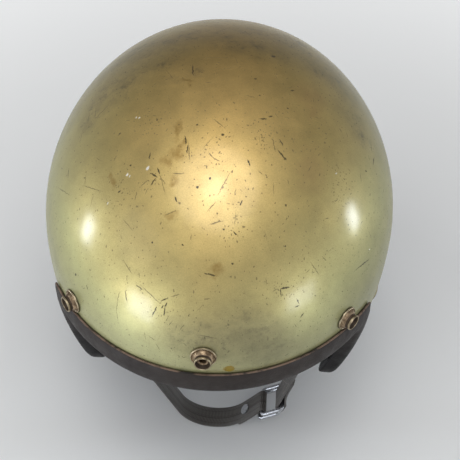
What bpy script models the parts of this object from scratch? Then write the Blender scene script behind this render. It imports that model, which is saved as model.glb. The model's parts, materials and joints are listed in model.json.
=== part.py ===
"""Open-face motorcycle helmet with visor studs and a chin strap that closes on two rings.

Metres, +Z up, the helmet faces -Y. The origin is the middle of the crown pad's underside,
where the helmet rests on the head. The helmet itself is drawn from the shell's widest level,
and the frame that carries it is set so that the origin comes out right.
"""
from math import acos, asin, atan2, ceil, cos, hypot, pi, radians, sin, sqrt, tan

import bmesh
import bpy
from mathutils import Matrix, Vector

# Clearances
GAP = 0.0003
MERGE_DISTANCE = 0.00001
OVERRUN = 0.020

# Outer shell, its depths counted down from its widest level
SHELL_WIDTH = 0.246
SHELL_LENGTH = 0.289
CROWN_HEIGHT = 0.124
SIDE_DRAW = 0.170
END_DRAW = 0.230
SHELL_WALL = 0.0035
SKIN_MERIDIANS = 60
SKIN_RINGS_ABOVE = 15
SKIN_RINGS_BELOW = 8

# Rim of the shell, seen from the side
BROW_DEPTH = 0.0197
TEMPLE_FORWARD = 0.082
TEMPLE_DEPTH = 0.0242
TEMPLE_RADIUS = 0.012
TEMPLE_STEPS = 6
JAW_FORWARD = 0.076
JAW_DEPTH = 0.098
JAW_RADIUS = 0.024
JAW_STEPS = 7
EAR_BACK = 0.005
EAR_DEPTH = 0.112
EAR_RADIUS = 0.300
EAR_STEPS = 6
NAPE_DEPTH = 0.104
RIM_STEP = 0.012
RIM_SAMPLES = 400

# Edge band, a channel that grips the rim
BAND_CLEARANCE = 0.0005
BAND_HEIGHT = 0.0175
BAND_THICKNESS = 0.0030
BAND_LIP = 0.0025
BAND_INNER_HEIGHT = 0.006
BAND_INNER_THICKNESS = 0.0015
BAND_ROUND = 0.0010
BAND_INNER_ROUND = 0.0006

# Foam liner
LINER_GAP = 0.0005
LINER_THICKNESS = 0.028
LINER_SETBACK = 0.010

# Comfort pads, their spans in degrees round from straight ahead and in heights
PAD_GAP = 0.0002
PAD_THICKNESS = 0.012
CROWN_PAD_THICKNESS = 0.010
CROWN_PAD_WIDTH = 0.100
CROWN_PAD_LENGTH = 0.130
CROWN_PAD_CELLS = 6
BROW_PAD_TURN = 52
BROW_PAD_LOW = -0.007
BROW_PAD_HIGH = 0.030
CHEEK_PAD_TURNS = (64, 108)
CHEEK_PAD_LOW = -0.099
CHEEK_PAD_HIGH = -0.022
NAPE_PAD_TURN = 48
NAPE_PAD_LOW = -0.091
NAPE_PAD_HIGH = -0.040
PAD_CELL = 0.016

# Visor studs and the hollow rivets that hold them
STUD_TURN = 46.3
CENTER_STUD_HEIGHT = 0.009
SIDE_STUD_HEIGHT = 0.001
STUD_FLANGE_RADIUS = 0.008
STUD_FLANGE_THICKNESS = 0.0010
STUD_ROUND = 0.0004
STUD_HEIGHT = 0.0060
STUD_HEAD_RADIUS = 0.0052
STUD_NECK_RADIUS = 0.0047
STUD_HEAD_HEIGHT = 0.0018
STUD_MOUTH_RADIUS = 0.0036
STUD_MOUTH_DEPTH = 0.0012
RIVET_TUBE_RADIUS = 0.0025
RIVET_TUBE_BORE = 0.0019
RIVET_ROLL_RADIUS = 0.0033
RIVET_ROLL_THICKNESS = 0.0005
WASHER_RADIUS = 0.0060
WASHER_THICKNESS = 0.0008
LINER_POCKET_RADIUS = 0.0085
LINER_POCKET_DEPTH = 0.0040
ROUND_SEGMENTS = 20

# Rivets and eyelets of the chin strap
RIVET_FORWARD = 0.0315
RIVET_DEPTH = 0.050
STRAP_RIVET_HEAD_RADIUS = 0.0070
STRAP_RIVET_HEAD_HEIGHT = 0.0026
STRAP_RIVET_HEAD_STEPS = 5
STRAP_RIVET_RADIUS = 0.0025
STRAP_RIVET_SWAGE_RADIUS = 0.0042
STRAP_RIVET_SWAGE = 0.0012
STRAP_WASHER_THICKNESS = 0.0010
EYELET_WALL = 0.0007
EYELET_FLANGE = 0.0024
EYELET_FLANGE_THICKNESS = 0.0006

# Chin strap, hanging in the plane through its two rivets
WEB_WIDTH = 0.019
WEB_THICKNESS = 0.0016
TAB_DROP = 0.011
STRAP_INSET = 0.014
STRAP_BEND_RADIUS = 0.020
STRAP_BEND_STEPS = 3
STRAP_DROP = 0.183
STRAP_ARC_RADIUS = 0.033
STRAP_ARC_STEP = 0.0045
FOLD_ANGLE = 52
FOLD_RUN = 0.021
FOLD_STEPS = 9
TURN_STEPS = 3
SWING_FORWARD = 15
SWING_BACK = 30
POCKET_CLEARANCE = 0.0015

# Rings and the short strap's loop on them
RING_WIRE = 0.0034
RING_LENGTH = 0.019
RING_CORNER = 0.0025
RING_CORNER_STEPS = 4
LOOP_STEPS = 6
LOOP_JOIN = 0.012
LOOP_STITCHED = 0.022

# Tail of the long strap and its press button
TAIL_LENGTH = 0.021
TAIL_ROOT_GAP = 0.0010
TAIL_LIFT = 60
BUTTON_REACH = 0.009
BUTTON_RADIUS = 0.0050
BUTTON_HEIGHT = 0.0020
BUTTON_RIM = 0.0006
BUTTON_DOME_STEPS = 4
SOCKET_WALL = 0.0008
SOCKET_CLEARANCE = 0.0008
POST_RADIUS = 0.0015
POST_RISE = 0.0005
POST_BASE_RADIUS = 0.0045
POST_BASE_THICKNESS = 0.0008

# Colours, each with its roughness and its metal share
LOOKS = {
    "gold_paint": ((0.42, 0.36, 0.19), 0.30, 0.55),
    "dark_leather": ((0.035, 0.028, 0.024), 0.60, 0.0),
    "white_foam": ((0.72, 0.71, 0.66), 0.85, 0.0),
    "lining_cloth": ((0.09, 0.085, 0.08), 0.95, 0.0),
    "aged_brass": ((0.33, 0.25, 0.17), 0.38, 0.9),
    "steel": ((0.42, 0.44, 0.47), 0.30, 1.0),
    "grey_webbing": ((0.20, 0.19, 0.18), 0.90, 0.0),
}

PARTS_NAME = "open_face_helmet"
CUTTERS_NAME = "cutters"
SIDES = (("left", 1), ("right", -1))
UP = Vector((0, 0, 1))
ACROSS = Vector((1, 0, 0))
ALONG = Vector((0, 1, 0))

SEAT_HEIGHT = (CROWN_HEIGHT - SHELL_WALL - LINER_GAP - LINER_THICKNESS - PAD_GAP
               - CROWN_PAD_THICKNESS)
LINER_INNER = SHELL_WALL + LINER_GAP + LINER_THICKNESS


# Skin of the shell

def half_axes(height):
    """Half the shell's outside width and length at a height."""
    if height > 0:
        share = sqrt(max(0, 1 - (height / CROWN_HEIGHT) ** 2))
        return SHELL_WIDTH / 2 * share, SHELL_LENGTH / 2 * share
    side_share = sqrt(1 - (height / SIDE_DRAW) ** 2)
    end_share = sqrt(1 - (height / END_DRAW) ** 2)
    return SHELL_WIDTH / 2 * side_share, SHELL_LENGTH / 2 * end_share


def skin_normal(point):
    """Outward direction of the shell's outer face at a point on it."""
    half_width, half_length = SHELL_WIDTH / 2, SHELL_LENGTH / 2
    if point.z > 0:
        return Vector((point.x / half_width ** 2, point.y / half_length ** 2,
                       point.z / CROWN_HEIGHT ** 2)).normalized()
    across, along = half_axes(point.z)
    rise = (point.x ** 2 * half_width ** 2 * point.z / (SIDE_DRAW ** 2 * across ** 4)
            + point.y ** 2 * half_length ** 2 * point.z / (END_DRAW ** 2 * along ** 4))
    return Vector((point.x / across ** 2, point.y / along ** 2, rise)).normalized()


def skin_point(turn, height, depth=0):
    """Point under the outer face, at an angle round from straight ahead towards +X."""
    across, along = half_axes(height)
    point = Vector((across * sin(turn), -along * cos(turn), height))
    return point - depth * skin_normal(point)


def skin_over(y, z):
    """Point of the outer face's +X half that a side view shows at y, z."""
    across, along = half_axes(z)
    return Vector((across * sqrt(max(0, 1 - (y / along) ** 2)), y, z))


def onto_skin(point):
    """A point moved level with itself on to the outer face."""
    across, along = half_axes(point.z)
    size = hypot(point.x / across, point.y / along)
    return Vector((point.x / size, point.y / size, point.z))


def hollow(radius):
    """How far inside the shell's tightest curve, with its flat facets, a flat disc must lie."""
    across = SHELL_WIDTH / 2 * sin(pi / SKIN_MERIDIANS)
    tall = CROWN_HEIGHT * sin(pi / 4 / SKIN_RINGS_ABOVE)
    return (radius ** 2 + across ** 2 + tall ** 2) * SHELL_LENGTH / SHELL_WIDTH ** 2


# Rim of the shell

def fillet(before, corner, after, radius, steps):
    """Points of the arc that rounds a flat corner."""
    to_before, to_after = (before - corner).normalized(), (after - corner).normalized()
    half = to_before.angle(to_after) / 2
    centre = corner + (to_before + to_after).normalized() * (radius / sin(half))
    start = corner + to_before * (radius / tan(half)) - centre
    end = corner + to_after * (radius / tan(half)) - centre
    sweep = pi - 2 * half
    if start.x * end.y < start.y * end.x:
        sweep = -sweep
    return [centre + Matrix.Rotation(sweep * k / steps, 2) @ start for k in range(steps + 1)]


def rim_outline(setback):
    """The rim from the brow's end to the nape's in side view, moved into the shell by the setback."""
    brow = Vector((-SHELL_LENGTH / 2, setback - BROW_DEPTH))
    temple = Vector((setback - TEMPLE_FORWARD, setback - TEMPLE_DEPTH))
    jaw = Vector((setback - JAW_FORWARD, setback - JAW_DEPTH))
    ear = Vector((EAR_BACK, setback - EAR_DEPTH))
    nape = Vector((SHELL_LENGTH / 2, setback - NAPE_DEPTH))
    front = brow + (brow - temple).normalized() * OVERRUN
    back = nape + (nape - ear).normalized() * OVERRUN
    return ([front],
            fillet(brow, temple, jaw, TEMPLE_RADIUS + setback, TEMPLE_STEPS),
            fillet(temple, jaw, ear, JAW_RADIUS - setback, JAW_STEPS),
            fillet(jaw, ear, nape, EAR_RADIUS, EAR_STEPS),
            [back])


def leave_skin(inside, outside):
    """Where a line of the side view leaves the shell's outline."""
    for _ in range(RIM_SAMPLES):
        middle = (inside + outside) / 2
        if abs(middle.x) < half_axes(middle.y)[1]:
            inside = middle
        else:
            outside = middle
    return inside


def spread(start, end):
    """Points inside a straight piece of the rim, about a step apart on the shell."""
    fine = [start.lerp(end, (1 - cos(pi * k / RIM_SAMPLES)) / 2) for k in range(RIM_SAMPLES + 1)]
    solid = [skin_over(p.x, p.y) for p in fine]
    run = [0]
    for a, b in zip(solid, solid[1:]):
        run.append(run[-1] + (b - a).length)
    count = max(1, ceil(run[-1] / RIM_STEP))
    chosen, k = [], 0
    for part in range(1, count):
        while run[k] < run[-1] * part / count:
            k += 1
        chosen.append(fine[k])
    return chosen


def rim_points():
    """The rim's +X half in side view, from the brow's middle round to the nape's."""
    fronts, temple, jaw, ear, backs = rim_outline(0)
    points = [leave_skin(temple[0], fronts[0])]
    for arc in (temple, jaw, ear, [leave_skin(ear[-1], backs[0])]):
        points += spread(points[-1], arc[0])
        points += arc
    return points


# Objects

def reset_scene():
    for old in list(bpy.data.objects):
        bpy.data.objects.remove(old)


def make_collection(name):
    made = bpy.data.collections.new(name)
    bpy.context.scene.collection.children.link(made)
    return made


def make_look(name):
    colour, roughness, metal = LOOKS[name]
    look = bpy.data.materials.new(name)
    look.use_nodes = True
    shader = look.node_tree.nodes["Principled BSDF"]
    shader.inputs["Base Color"].default_value = (*colour, 1)
    shader.inputs["Roughness"].default_value = roughness
    shader.inputs["Metallic"].default_value = metal
    look.diffuse_color = (*colour, 1)
    return look


class Model:
    """The collections, the looks and the empties that carry the pieces."""

    def __init__(self):
        self.parts = make_collection(PARTS_NAME)
        self.cutters = make_collection(CUTTERS_NAME)
        self.looks = {name: make_look(name) for name in LOOKS}
        self.places = {}
        self.frame = self.carrier("helmet_frame", Vector((0, 0, 0)), None)
        self.frame.location = (0, 0, -SEAT_HEIGHT)

    def carrier(self, name, place, parent):
        """An empty at a place of the helmet, on a joint's axis where what it carries turns."""
        empty = bpy.data.objects.new(name, None)
        self.parts.objects.link(empty)
        if parent:
            empty.parent = parent
            empty.location = place - self.places[parent.name]
        self.places[name] = place
        return empty

    def add(self, name, data, look, carrier=None, matrix=Matrix()):
        """A piece drawn in the helmet's frame, carried by an empty."""
        carrier = carrier or self.frame
        piece = bpy.data.objects.new(name, data)
        self.parts.objects.link(piece)
        piece.parent = carrier
        piece.matrix_basis = Matrix.Translation(-self.places[carrier.name]) @ matrix
        piece.data.materials.append(self.looks[look])
        return piece

    def add_cutter(self, name, data, matrix=Matrix()):
        cutter = bpy.data.objects.new(name, data)
        self.cutters.objects.link(cutter)
        cutter.parent = self.frame
        cutter.matrix_basis = matrix
        cutter.hide_render = True
        cutter.display_type = "WIRE"
        return cutter


def mesh_from(build, name):
    """A mesh made by a function that fills a bmesh, shaded smooth but for its sharp edges."""
    bm = bmesh.new()
    build(bm)
    mesh = bpy.data.meshes.new(name)
    bm.to_mesh(mesh)
    bm.free()
    return mesh


def solidify(piece, thickness, offset=-1):
    wall = piece.modifiers.new("wall", "SOLIDIFY")
    wall.thickness = thickness
    wall.offset = offset
    wall.use_even_offset = True


def cut(piece, *cutters):
    for cutter in cutters:
        boolean = piece.modifiers.new("cut_" + cutter.name, "BOOLEAN")
        boolean.operation = "DIFFERENCE"
        boolean.solver = "EXACT"
        boolean.object = cutter


def soften(piece):
    rounding = piece.modifiers.new("rounding", "SUBSURF")
    rounding.levels = 1
    rounding.render_levels = 1


def turned_mesh(name, profile, closed):
    """A profile of radius and height, which the turning modifier sweeps round +Z."""
    mesh = bpy.data.meshes.new(name)
    edges = [(k, k + 1) for k in range(len(profile) - 1)]
    if closed:
        edges.append((len(profile) - 1, 0))
    mesh.from_pydata([(radius, 0, height) for radius, height in profile], edges, [])
    return mesh


def turn_round(piece):
    lathe = piece.modifiers.new("turned", "SCREW")
    lathe.axis = "Z"
    lathe.angle = 2 * pi
    lathe.steps = ROUND_SEGMENTS
    lathe.render_steps = ROUND_SEGMENTS
    lathe.use_merge_vertices = True
    lathe.merge_threshold = MERGE_DISTANCE
    lathe.use_smooth_shade = True
    return piece


def standing(origin, direction):
    """The placement that takes +Z to a direction at an origin."""
    turn = UP.rotation_difference(direction).to_matrix().to_4x4()
    return Matrix.Translation(origin) @ turn


def drill(model, name, radius, low, high, matrix):
    """A round cutter along a placement's +Z, from a low to a high end."""
    def build(bm):
        bmesh.ops.create_cone(bm, cap_ends=True, segments=ROUND_SEGMENTS, radius1=radius,
                              radius2=radius, depth=high - low,
                              matrix=Matrix.Translation(UP * ((high + low) / 2)))
    return model.add_cutter(name, mesh_from(build, name), matrix)


# Shell, band and liner

def skin_mesh(name, depth):
    """A sphere drawn out into the shell's shape at a depth under its outer face, open below."""
    reach = EAR_DEPTH + OVERRUN
    rings = SKIN_RINGS_ABOVE + SKIN_RINGS_BELOW + 1

    def build(bm):
        bmesh.ops.create_uvsphere(bm, u_segments=SKIN_MERIDIANS, v_segments=rings, radius=1)
        low_pole = min(bm.verts, key=lambda v: v.co.z)
        bmesh.ops.delete(bm, geom=[low_pole], context="VERTS")
        for vert in bm.verts:
            ring = round(acos(max(-1, min(1, vert.co.z))) / pi * rings)
            turn = atan2(vert.co.x, -vert.co.y)
            if ring < SKIN_RINGS_ABOVE:
                height = CROWN_HEIGHT * cos(pi / 2 * ring / SKIN_RINGS_ABOVE)
            else:
                height = -reach * (ring - SKIN_RINGS_ABOVE) / SKIN_RINGS_BELOW
            vert.co = skin_point(turn, height, depth)
    return mesh_from(build, name)


def rim_cutter(model, name, setback):
    """A prism across the helmet that takes away the face opening and all below the rim."""
    outline = [point for arc in rim_outline(setback) for point in arc]
    low = -(EAR_DEPTH + 2 * OVERRUN)
    outline += [Vector((outline[-1].x, low)), Vector((outline[0].x, low))]
    half = SHELL_WIDTH / 2 + OVERRUN

    def build(bm):
        verts = [bm.verts.new((-half, y, z)) for y, z in outline]
        side = bm.faces.new(verts)
        grown = bmesh.ops.extrude_face_region(bm, geom=[side])["geom"]
        moved = [item for item in grown if isinstance(item, bmesh.types.BMVert)]
        bmesh.ops.translate(bm, vec=ACROSS * (2 * half), verts=moved)
        bmesh.ops.recalc_face_normals(bm, faces=bm.faces)
    return model.add_cutter(name, mesh_from(build, name))


def band_profile():
    """Section of the band: height up the shell, distance out of its face, and whether it is
    part of the lip, which follows the rim's cut."""
    top = BAND_HEIGHT - BAND_LIP - BAND_CLEARANCE
    under = -BAND_CLEARANCE - BAND_LIP
    outside = BAND_CLEARANCE + BAND_THICKNESS
    inside = -SHELL_WALL - BAND_CLEARANCE
    innermost = inside - BAND_INNER_THICKNESS
    return [
        (top, BAND_CLEARANCE, False),
        (top, outside - BAND_ROUND, False),
        (top - BAND_ROUND, outside, False),
        (under + BAND_ROUND, outside, True),
        (under, outside - BAND_ROUND, True),
        (under, innermost + BAND_INNER_ROUND, True),
        (under + BAND_INNER_ROUND, innermost, True),
        (BAND_INNER_HEIGHT, innermost, False),
        (BAND_INNER_HEIGHT, inside, False),
        (-BAND_CLEARANCE, inside, True),
        (-BAND_CLEARANCE, BAND_CLEARANCE, True),
    ]


def band_sections():
    """The band's section at each point of the rim's +X half."""
    flat = rim_points()
    solid = [skin_over(p.x, p.y) for p in flat]
    solid[0].x = solid[-1].x = 0
    sections = []
    for k, point in enumerate(solid):
        run = flat[min(k + 1, len(flat) - 1)] - flat[max(k - 1, 0)]
        inward = Vector((0, -run.y, run.x)).normalized()
        normal = skin_normal(point)
        climb = (inward - inward.dot(normal) * normal).normalized()
        slant = -inward.dot(normal) / inward.dot(climb)
        section = []
        for up, out, in_lip in band_profile():
            if in_lip:
                up += slant * out
            base = onto_skin(point + up * climb)
            section.append(base + out * skin_normal(base))
        sections.append(section)
    return sections


def make_band(model):
    def build(bm):
        loops = [[bm.verts.new(p) for p in section] for section in band_sections()]
        for near, far in zip(loops, loops[1:]):
            for k in range(len(near)):
                n = (k + 1) % len(near)
                bm.faces.new((near[k], near[n], far[n], far[k]))
        bmesh.ops.recalc_face_normals(bm, faces=bm.faces)
    band = model.add("edge_band", mesh_from(build, "edge_band"), "dark_leather")
    mirror = band.modifiers.new("other_half", "MIRROR")
    mirror.merge_threshold = MERGE_DISTANCE


def make_shell(model, holes):
    mesh = skin_mesh("outer_shell", 0)
    shell = model.add("outer_shell", mesh, "gold_paint")
    solidify(shell, SHELL_WALL)
    cut(shell, rim_cutter(model, "rim_cutter", 0), *holes)


def make_liner(model, pockets):
    mesh = skin_mesh("eps_liner", SHELL_WALL + LINER_GAP)
    liner = model.add("eps_liner", mesh, "white_foam")
    solidify(liner, LINER_THICKNESS)
    cut(liner, rim_cutter(model, "liner_cutter", LINER_SETBACK), *pockets)


# Comfort pads

def patch_pad(model, name, turns, low, high):
    """A cushion on the liner's inner face, between two angles and two heights."""
    first, last = (radians(turn) for turn in turns)
    depth = LINER_INNER + PAD_GAP
    middle = (low + high) / 2
    length = (last - first) * (skin_point(first, middle, depth) - UP * middle).length
    across = max(2, round(length / PAD_CELL))
    tall = max(2, round((high - low) / PAD_CELL))

    def build(bm):
        bmesh.ops.create_grid(bm, x_segments=across, y_segments=tall, size=1)
        for vert in bm.verts:
            turn = first + (last - first) * (vert.co.x + 1) / 2
            height = low + (high - low) * (vert.co.y + 1) / 2
            vert.co = skin_point(turn, height, depth)
    pad = model.add(name, mesh_from(build, name), "lining_cloth")
    solidify(pad, PAD_THICKNESS)
    soften(pad)


def crown_pad(model):
    """A domed oval cushion under the crown."""
    depth = LINER_INNER + PAD_GAP

    def build(bm):
        bmesh.ops.create_grid(bm, x_segments=CROWN_PAD_CELLS, y_segments=CROWN_PAD_CELLS, size=1)
        for vert in bm.verts:
            u, v = vert.co.x, vert.co.y
            x = u * sqrt(1 - v * v / 2) * CROWN_PAD_WIDTH / 2
            y = v * sqrt(1 - u * u / 2) * CROWN_PAD_LENGTH / 2
            share = 1 - (2 * x / SHELL_WIDTH) ** 2 - (2 * y / SHELL_LENGTH) ** 2
            point = Vector((x, y, CROWN_HEIGHT * sqrt(share)))
            vert.co = point - depth * skin_normal(point)
    pad = model.add("crown_pad", mesh_from(build, "crown_pad"), "lining_cloth")
    solidify(pad, CROWN_PAD_THICKNESS)
    soften(pad)


def make_pads(model):
    crown_pad(model)
    patch_pad(model, "brow_pad", (-BROW_PAD_TURN, BROW_PAD_TURN), BROW_PAD_LOW, BROW_PAD_HIGH)
    near, far = CHEEK_PAD_TURNS
    patch_pad(model, "cheek_pad_left", (near, far), CHEEK_PAD_LOW, CHEEK_PAD_HIGH)
    patch_pad(model, "cheek_pad_right", (-far, -near), CHEEK_PAD_LOW, CHEEK_PAD_HIGH)
    back = 180
    patch_pad(model, "nape_pad", (back - NAPE_PAD_TURN, back + NAPE_PAD_TURN), NAPE_PAD_LOW,
              NAPE_PAD_HIGH)


# Visor studs

def stud_places():
    """Name and placement of each stud, standing on the shell."""
    turn = radians(STUD_TURN)
    for name, angle, height in (("center", 0, CENTER_STUD_HEIGHT),
                                ("left", turn, SIDE_STUD_HEIGHT),
                                ("right", -turn, SIDE_STUD_HEIGHT)):
        point = skin_point(angle, height)
        yield name, standing(point, skin_normal(point))


def stud_profile():
    top = GAP + STUD_HEIGHT
    foot = GAP + STUD_FLANGE_THICKNESS
    bore = RIVET_TUBE_RADIUS + GAP
    return [
        (STUD_HEAD_RADIUS - STUD_ROUND, top),
        (STUD_HEAD_RADIUS, top - STUD_ROUND),
        (STUD_HEAD_RADIUS, top - STUD_HEAD_HEIGHT),
        (STUD_NECK_RADIUS, top - STUD_HEAD_HEIGHT - STUD_ROUND),
        (STUD_NECK_RADIUS, foot),
        (STUD_FLANGE_RADIUS - STUD_ROUND, foot),
        (STUD_FLANGE_RADIUS, foot - STUD_ROUND),
        (STUD_FLANGE_RADIUS, GAP),
        (bore, GAP),
        (bore, top - STUD_MOUTH_DEPTH),
        (STUD_MOUTH_RADIUS, top - STUD_MOUTH_DEPTH),
        (STUD_MOUTH_RADIUS, top),
    ]


def washer_gap():
    return GAP + hollow(WASHER_RADIUS)


def stud_rivet_profile():
    """A tube with a rolled rim in the stud's mouth and another behind the washer."""
    roll_foot = GAP + STUD_HEIGHT - STUD_MOUTH_DEPTH + GAP
    behind = -(SHELL_WALL + washer_gap() + WASHER_THICKNESS + GAP)
    return [
        (RIVET_ROLL_RADIUS, roll_foot + RIVET_ROLL_THICKNESS),
        (RIVET_ROLL_RADIUS, roll_foot),
        (RIVET_TUBE_RADIUS, roll_foot),
        (RIVET_TUBE_RADIUS, behind),
        (RIVET_ROLL_RADIUS, behind),
        (RIVET_ROLL_RADIUS, behind - RIVET_ROLL_THICKNESS),
        (RIVET_TUBE_BORE, behind - RIVET_ROLL_THICKNESS),
        (RIVET_TUBE_BORE, roll_foot + RIVET_ROLL_THICKNESS),
    ]


def washer_profile(bore, face, thickness):
    """A flat ring whose outer side lies at a face height."""
    return [(WASHER_RADIUS, face), (WASHER_RADIUS, face - thickness),
            (bore, face - thickness), (bore, face)]


def make_studs(model):
    """The three studs, and the cutters for their holes and for the liner's pockets."""
    holes, pockets = [], []
    bore = RIVET_TUBE_RADIUS + GAP
    for name, matrix in stud_places():
        face = -(SHELL_WALL + washer_gap())
        for piece, profile in (
                ("snap_stud_", stud_profile()),
                ("snap_rivet_", stud_rivet_profile()),
                ("snap_washer_", washer_profile(bore, face, WASHER_THICKNESS))):
            mesh = turned_mesh(piece + name, profile, True)
            turn_round(model.add(piece + name, mesh, "aged_brass", matrix=matrix))
        holes.append(drill(model, "stud_hole_" + name, bore, -SHELL_WALL - OVERRUN, OVERRUN,
                           matrix))
        pocket_end = -(SHELL_WALL + LINER_GAP + LINER_POCKET_DEPTH)
        pockets.append(drill(model, "stud_pocket_" + name, LINER_POCKET_RADIUS, pocket_end,
                             OVERRUN, matrix))
    return holes, pockets


# Chin strap

def eyelet_half():
    """Half an eyelet's length, which is half the webbing's thickness and a flange."""
    return WEB_THICKNESS / 2 + GAP + EYELET_FLANGE_THICKNESS


class Anchor:
    """Where the strap's end turns on its rivet, on the +X side."""

    def __init__(self):
        self.seat = skin_over(-RIVET_FORWARD, -RIVET_DEPTH)
        self.normal = skin_normal(self.seat)
        self.tilt = acos(self.normal.x)
        self.reach = hypot(WEB_WIDTH / 2, WEB_WIDTH / 2)
        standoff = (WEB_THICKNESS / 2 + GAP + self.reach * tan(self.tilt) + hollow(self.reach))
        plane = self.seat.x - SHELL_WALL / cos(self.tilt) - standoff
        self.depth = (self.seat.x - plane) / self.normal.x
        self.pivot = self.seat - self.normal * self.depth
        shank = STRAP_RIVET_RADIUS
        self.bore = shank / cos(self.tilt) + eyelet_half() * tan(self.tilt) + GAP
        flange = self.bore + EYELET_FLANGE
        widest = max(flange, WASHER_RADIUS)
        lean = (eyelet_half() + GAP + widest * sin(self.tilt)) / cos(self.tilt)
        self.washer_face = -(self.depth + lean)
        self.tail = self.washer_face - STRAP_WASHER_THICKNESS - GAP


def strap_rivet_profile(anchor):
    head = [(STRAP_RIVET_HEAD_RADIUS * sin(pi / 2 * k / STRAP_RIVET_HEAD_STEPS),
             GAP + STRAP_RIVET_HEAD_HEIGHT * cos(pi / 2 * k / STRAP_RIVET_HEAD_STEPS))
            for k in range(STRAP_RIVET_HEAD_STEPS + 1)]
    return head + [
        (STRAP_RIVET_RADIUS, GAP),
        (STRAP_RIVET_RADIUS, anchor.tail),
        (STRAP_RIVET_SWAGE_RADIUS, anchor.tail),
        (STRAP_RIVET_SWAGE_RADIUS, anchor.tail - STRAP_RIVET_SWAGE),
        (0, anchor.tail - STRAP_RIVET_SWAGE),
    ]


def eyelet_profile(anchor):
    barrel = anchor.bore + EYELET_WALL
    flange = anchor.bore + EYELET_FLANGE
    end, under = eyelet_half(), WEB_THICKNESS / 2 + GAP
    return [(flange, end), (flange, under), (barrel, under), (barrel, -under), (flange, -under),
            (flange, -end), (anchor.bore, -end), (anchor.bore, end)]


def mirrored(point, side):
    return Vector((side * point.x, point.y, point.z))


def make_anchors(model, anchor, strap_carrier):
    """Rivets, washers and eyelets of both strap ends, and the cutters for the shell's holes."""
    holes = []
    for name, side in SIDES:
        matrix = standing(mirrored(anchor.seat, side), mirrored(anchor.normal, side))
        rivet = turned_mesh("strap_rivet_" + name, strap_rivet_profile(anchor), False)
        turn_round(model.add("strap_rivet_" + name, rivet, "aged_brass", matrix=matrix))
        ring = washer_profile(STRAP_RIVET_RADIUS + GAP, anchor.washer_face,
                              STRAP_WASHER_THICKNESS)
        washer = turned_mesh("strap_washer_" + name, ring, True)
        turn_round(model.add("strap_washer_" + name, washer, "steel", matrix=matrix))
        eyelet = turned_mesh("strap_eyelet_" + name, eyelet_profile(anchor), True)
        turn_round(model.add("strap_eyelet_" + name, eyelet, "aged_brass", strap_carrier,
                             standing(mirrored(anchor.pivot, side), ACROSS)))
        holes.append(drill(model, "strap_rivet_hole_" + name, STRAP_RIVET_RADIUS + GAP,
                           -SHELL_WALL - OVERRUN, OVERRUN, matrix))
    return holes


def strap_pockets(model, anchor):
    """Fans cut out of the liner's outside, in which the strap's ends swing."""
    strap = StrapPath(anchor)
    top = anchor.pivot.z + anchor.reach + POCKET_CLEARANCE
    bottom = -(EAR_DEPTH + OVERRUN)
    drop = anchor.pivot.z - bottom
    top_half = anchor.reach + POCKET_CLEARANCE
    low_half = WEB_WIDTH / 2 + POCKET_CLEARANCE
    front, back = radians(SWING_FORWARD), radians(SWING_BACK)
    fan = {
        False: (top, -top_half, top_half),
        True: (bottom, -(drop * tan(front) + low_half / cos(front)),
               drop * tan(back) + low_half / cos(back)),
    }
    rivet_end = (anchor.seat + anchor.normal * (anchor.tail - STRAP_RIVET_SWAGE)).x
    floors = {
        False: rivet_end - POCKET_CLEARANCE,
        True: strap.x_at(bottom) - WEB_THICKNESS - POCKET_CLEARANCE,
    }
    pockets = []
    for name, side in SIDES:
        def build(bm):
            bmesh.ops.create_cube(bm, size=2)
            for vert in bm.verts:
                low, behind, outer = vert.co.z < 0, vert.co.y > 0, side * vert.co.x > 0
                height, forward, backward = fan[low]
                vert.co.x = side * (SHELL_WIDTH / 2 + OVERRUN if outer else floors[low])
                vert.co.y = anchor.pivot.y + (backward if behind else forward)
                vert.co.z = height
            bmesh.ops.recalc_face_normals(bm, faces=bm.faces)
        cutter_name = "strap_pocket_" + name
        pockets.append(model.add_cutter(cutter_name, mesh_from(build, cutter_name)))
    return pockets


def flat_direction(angle):
    return Vector((cos(angle), sin(angle)))


def arc(centre, radius, start, end, steps):
    """Points of an arc in the strap's plane, its angles counted from +X towards +Z."""
    return [centre + radius * flat_direction(start + (end - start) * k / steps)
            for k in range(steps + 1)]


def bearing(vector):
    return atan2(vector.y, vector.x)


def tangent_angle(point, centre, radius, side):
    """Angle on a circle where a line from an outside point touches it."""
    away = point - centre
    return bearing(away) + side * acos(radius / away.length)


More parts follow.
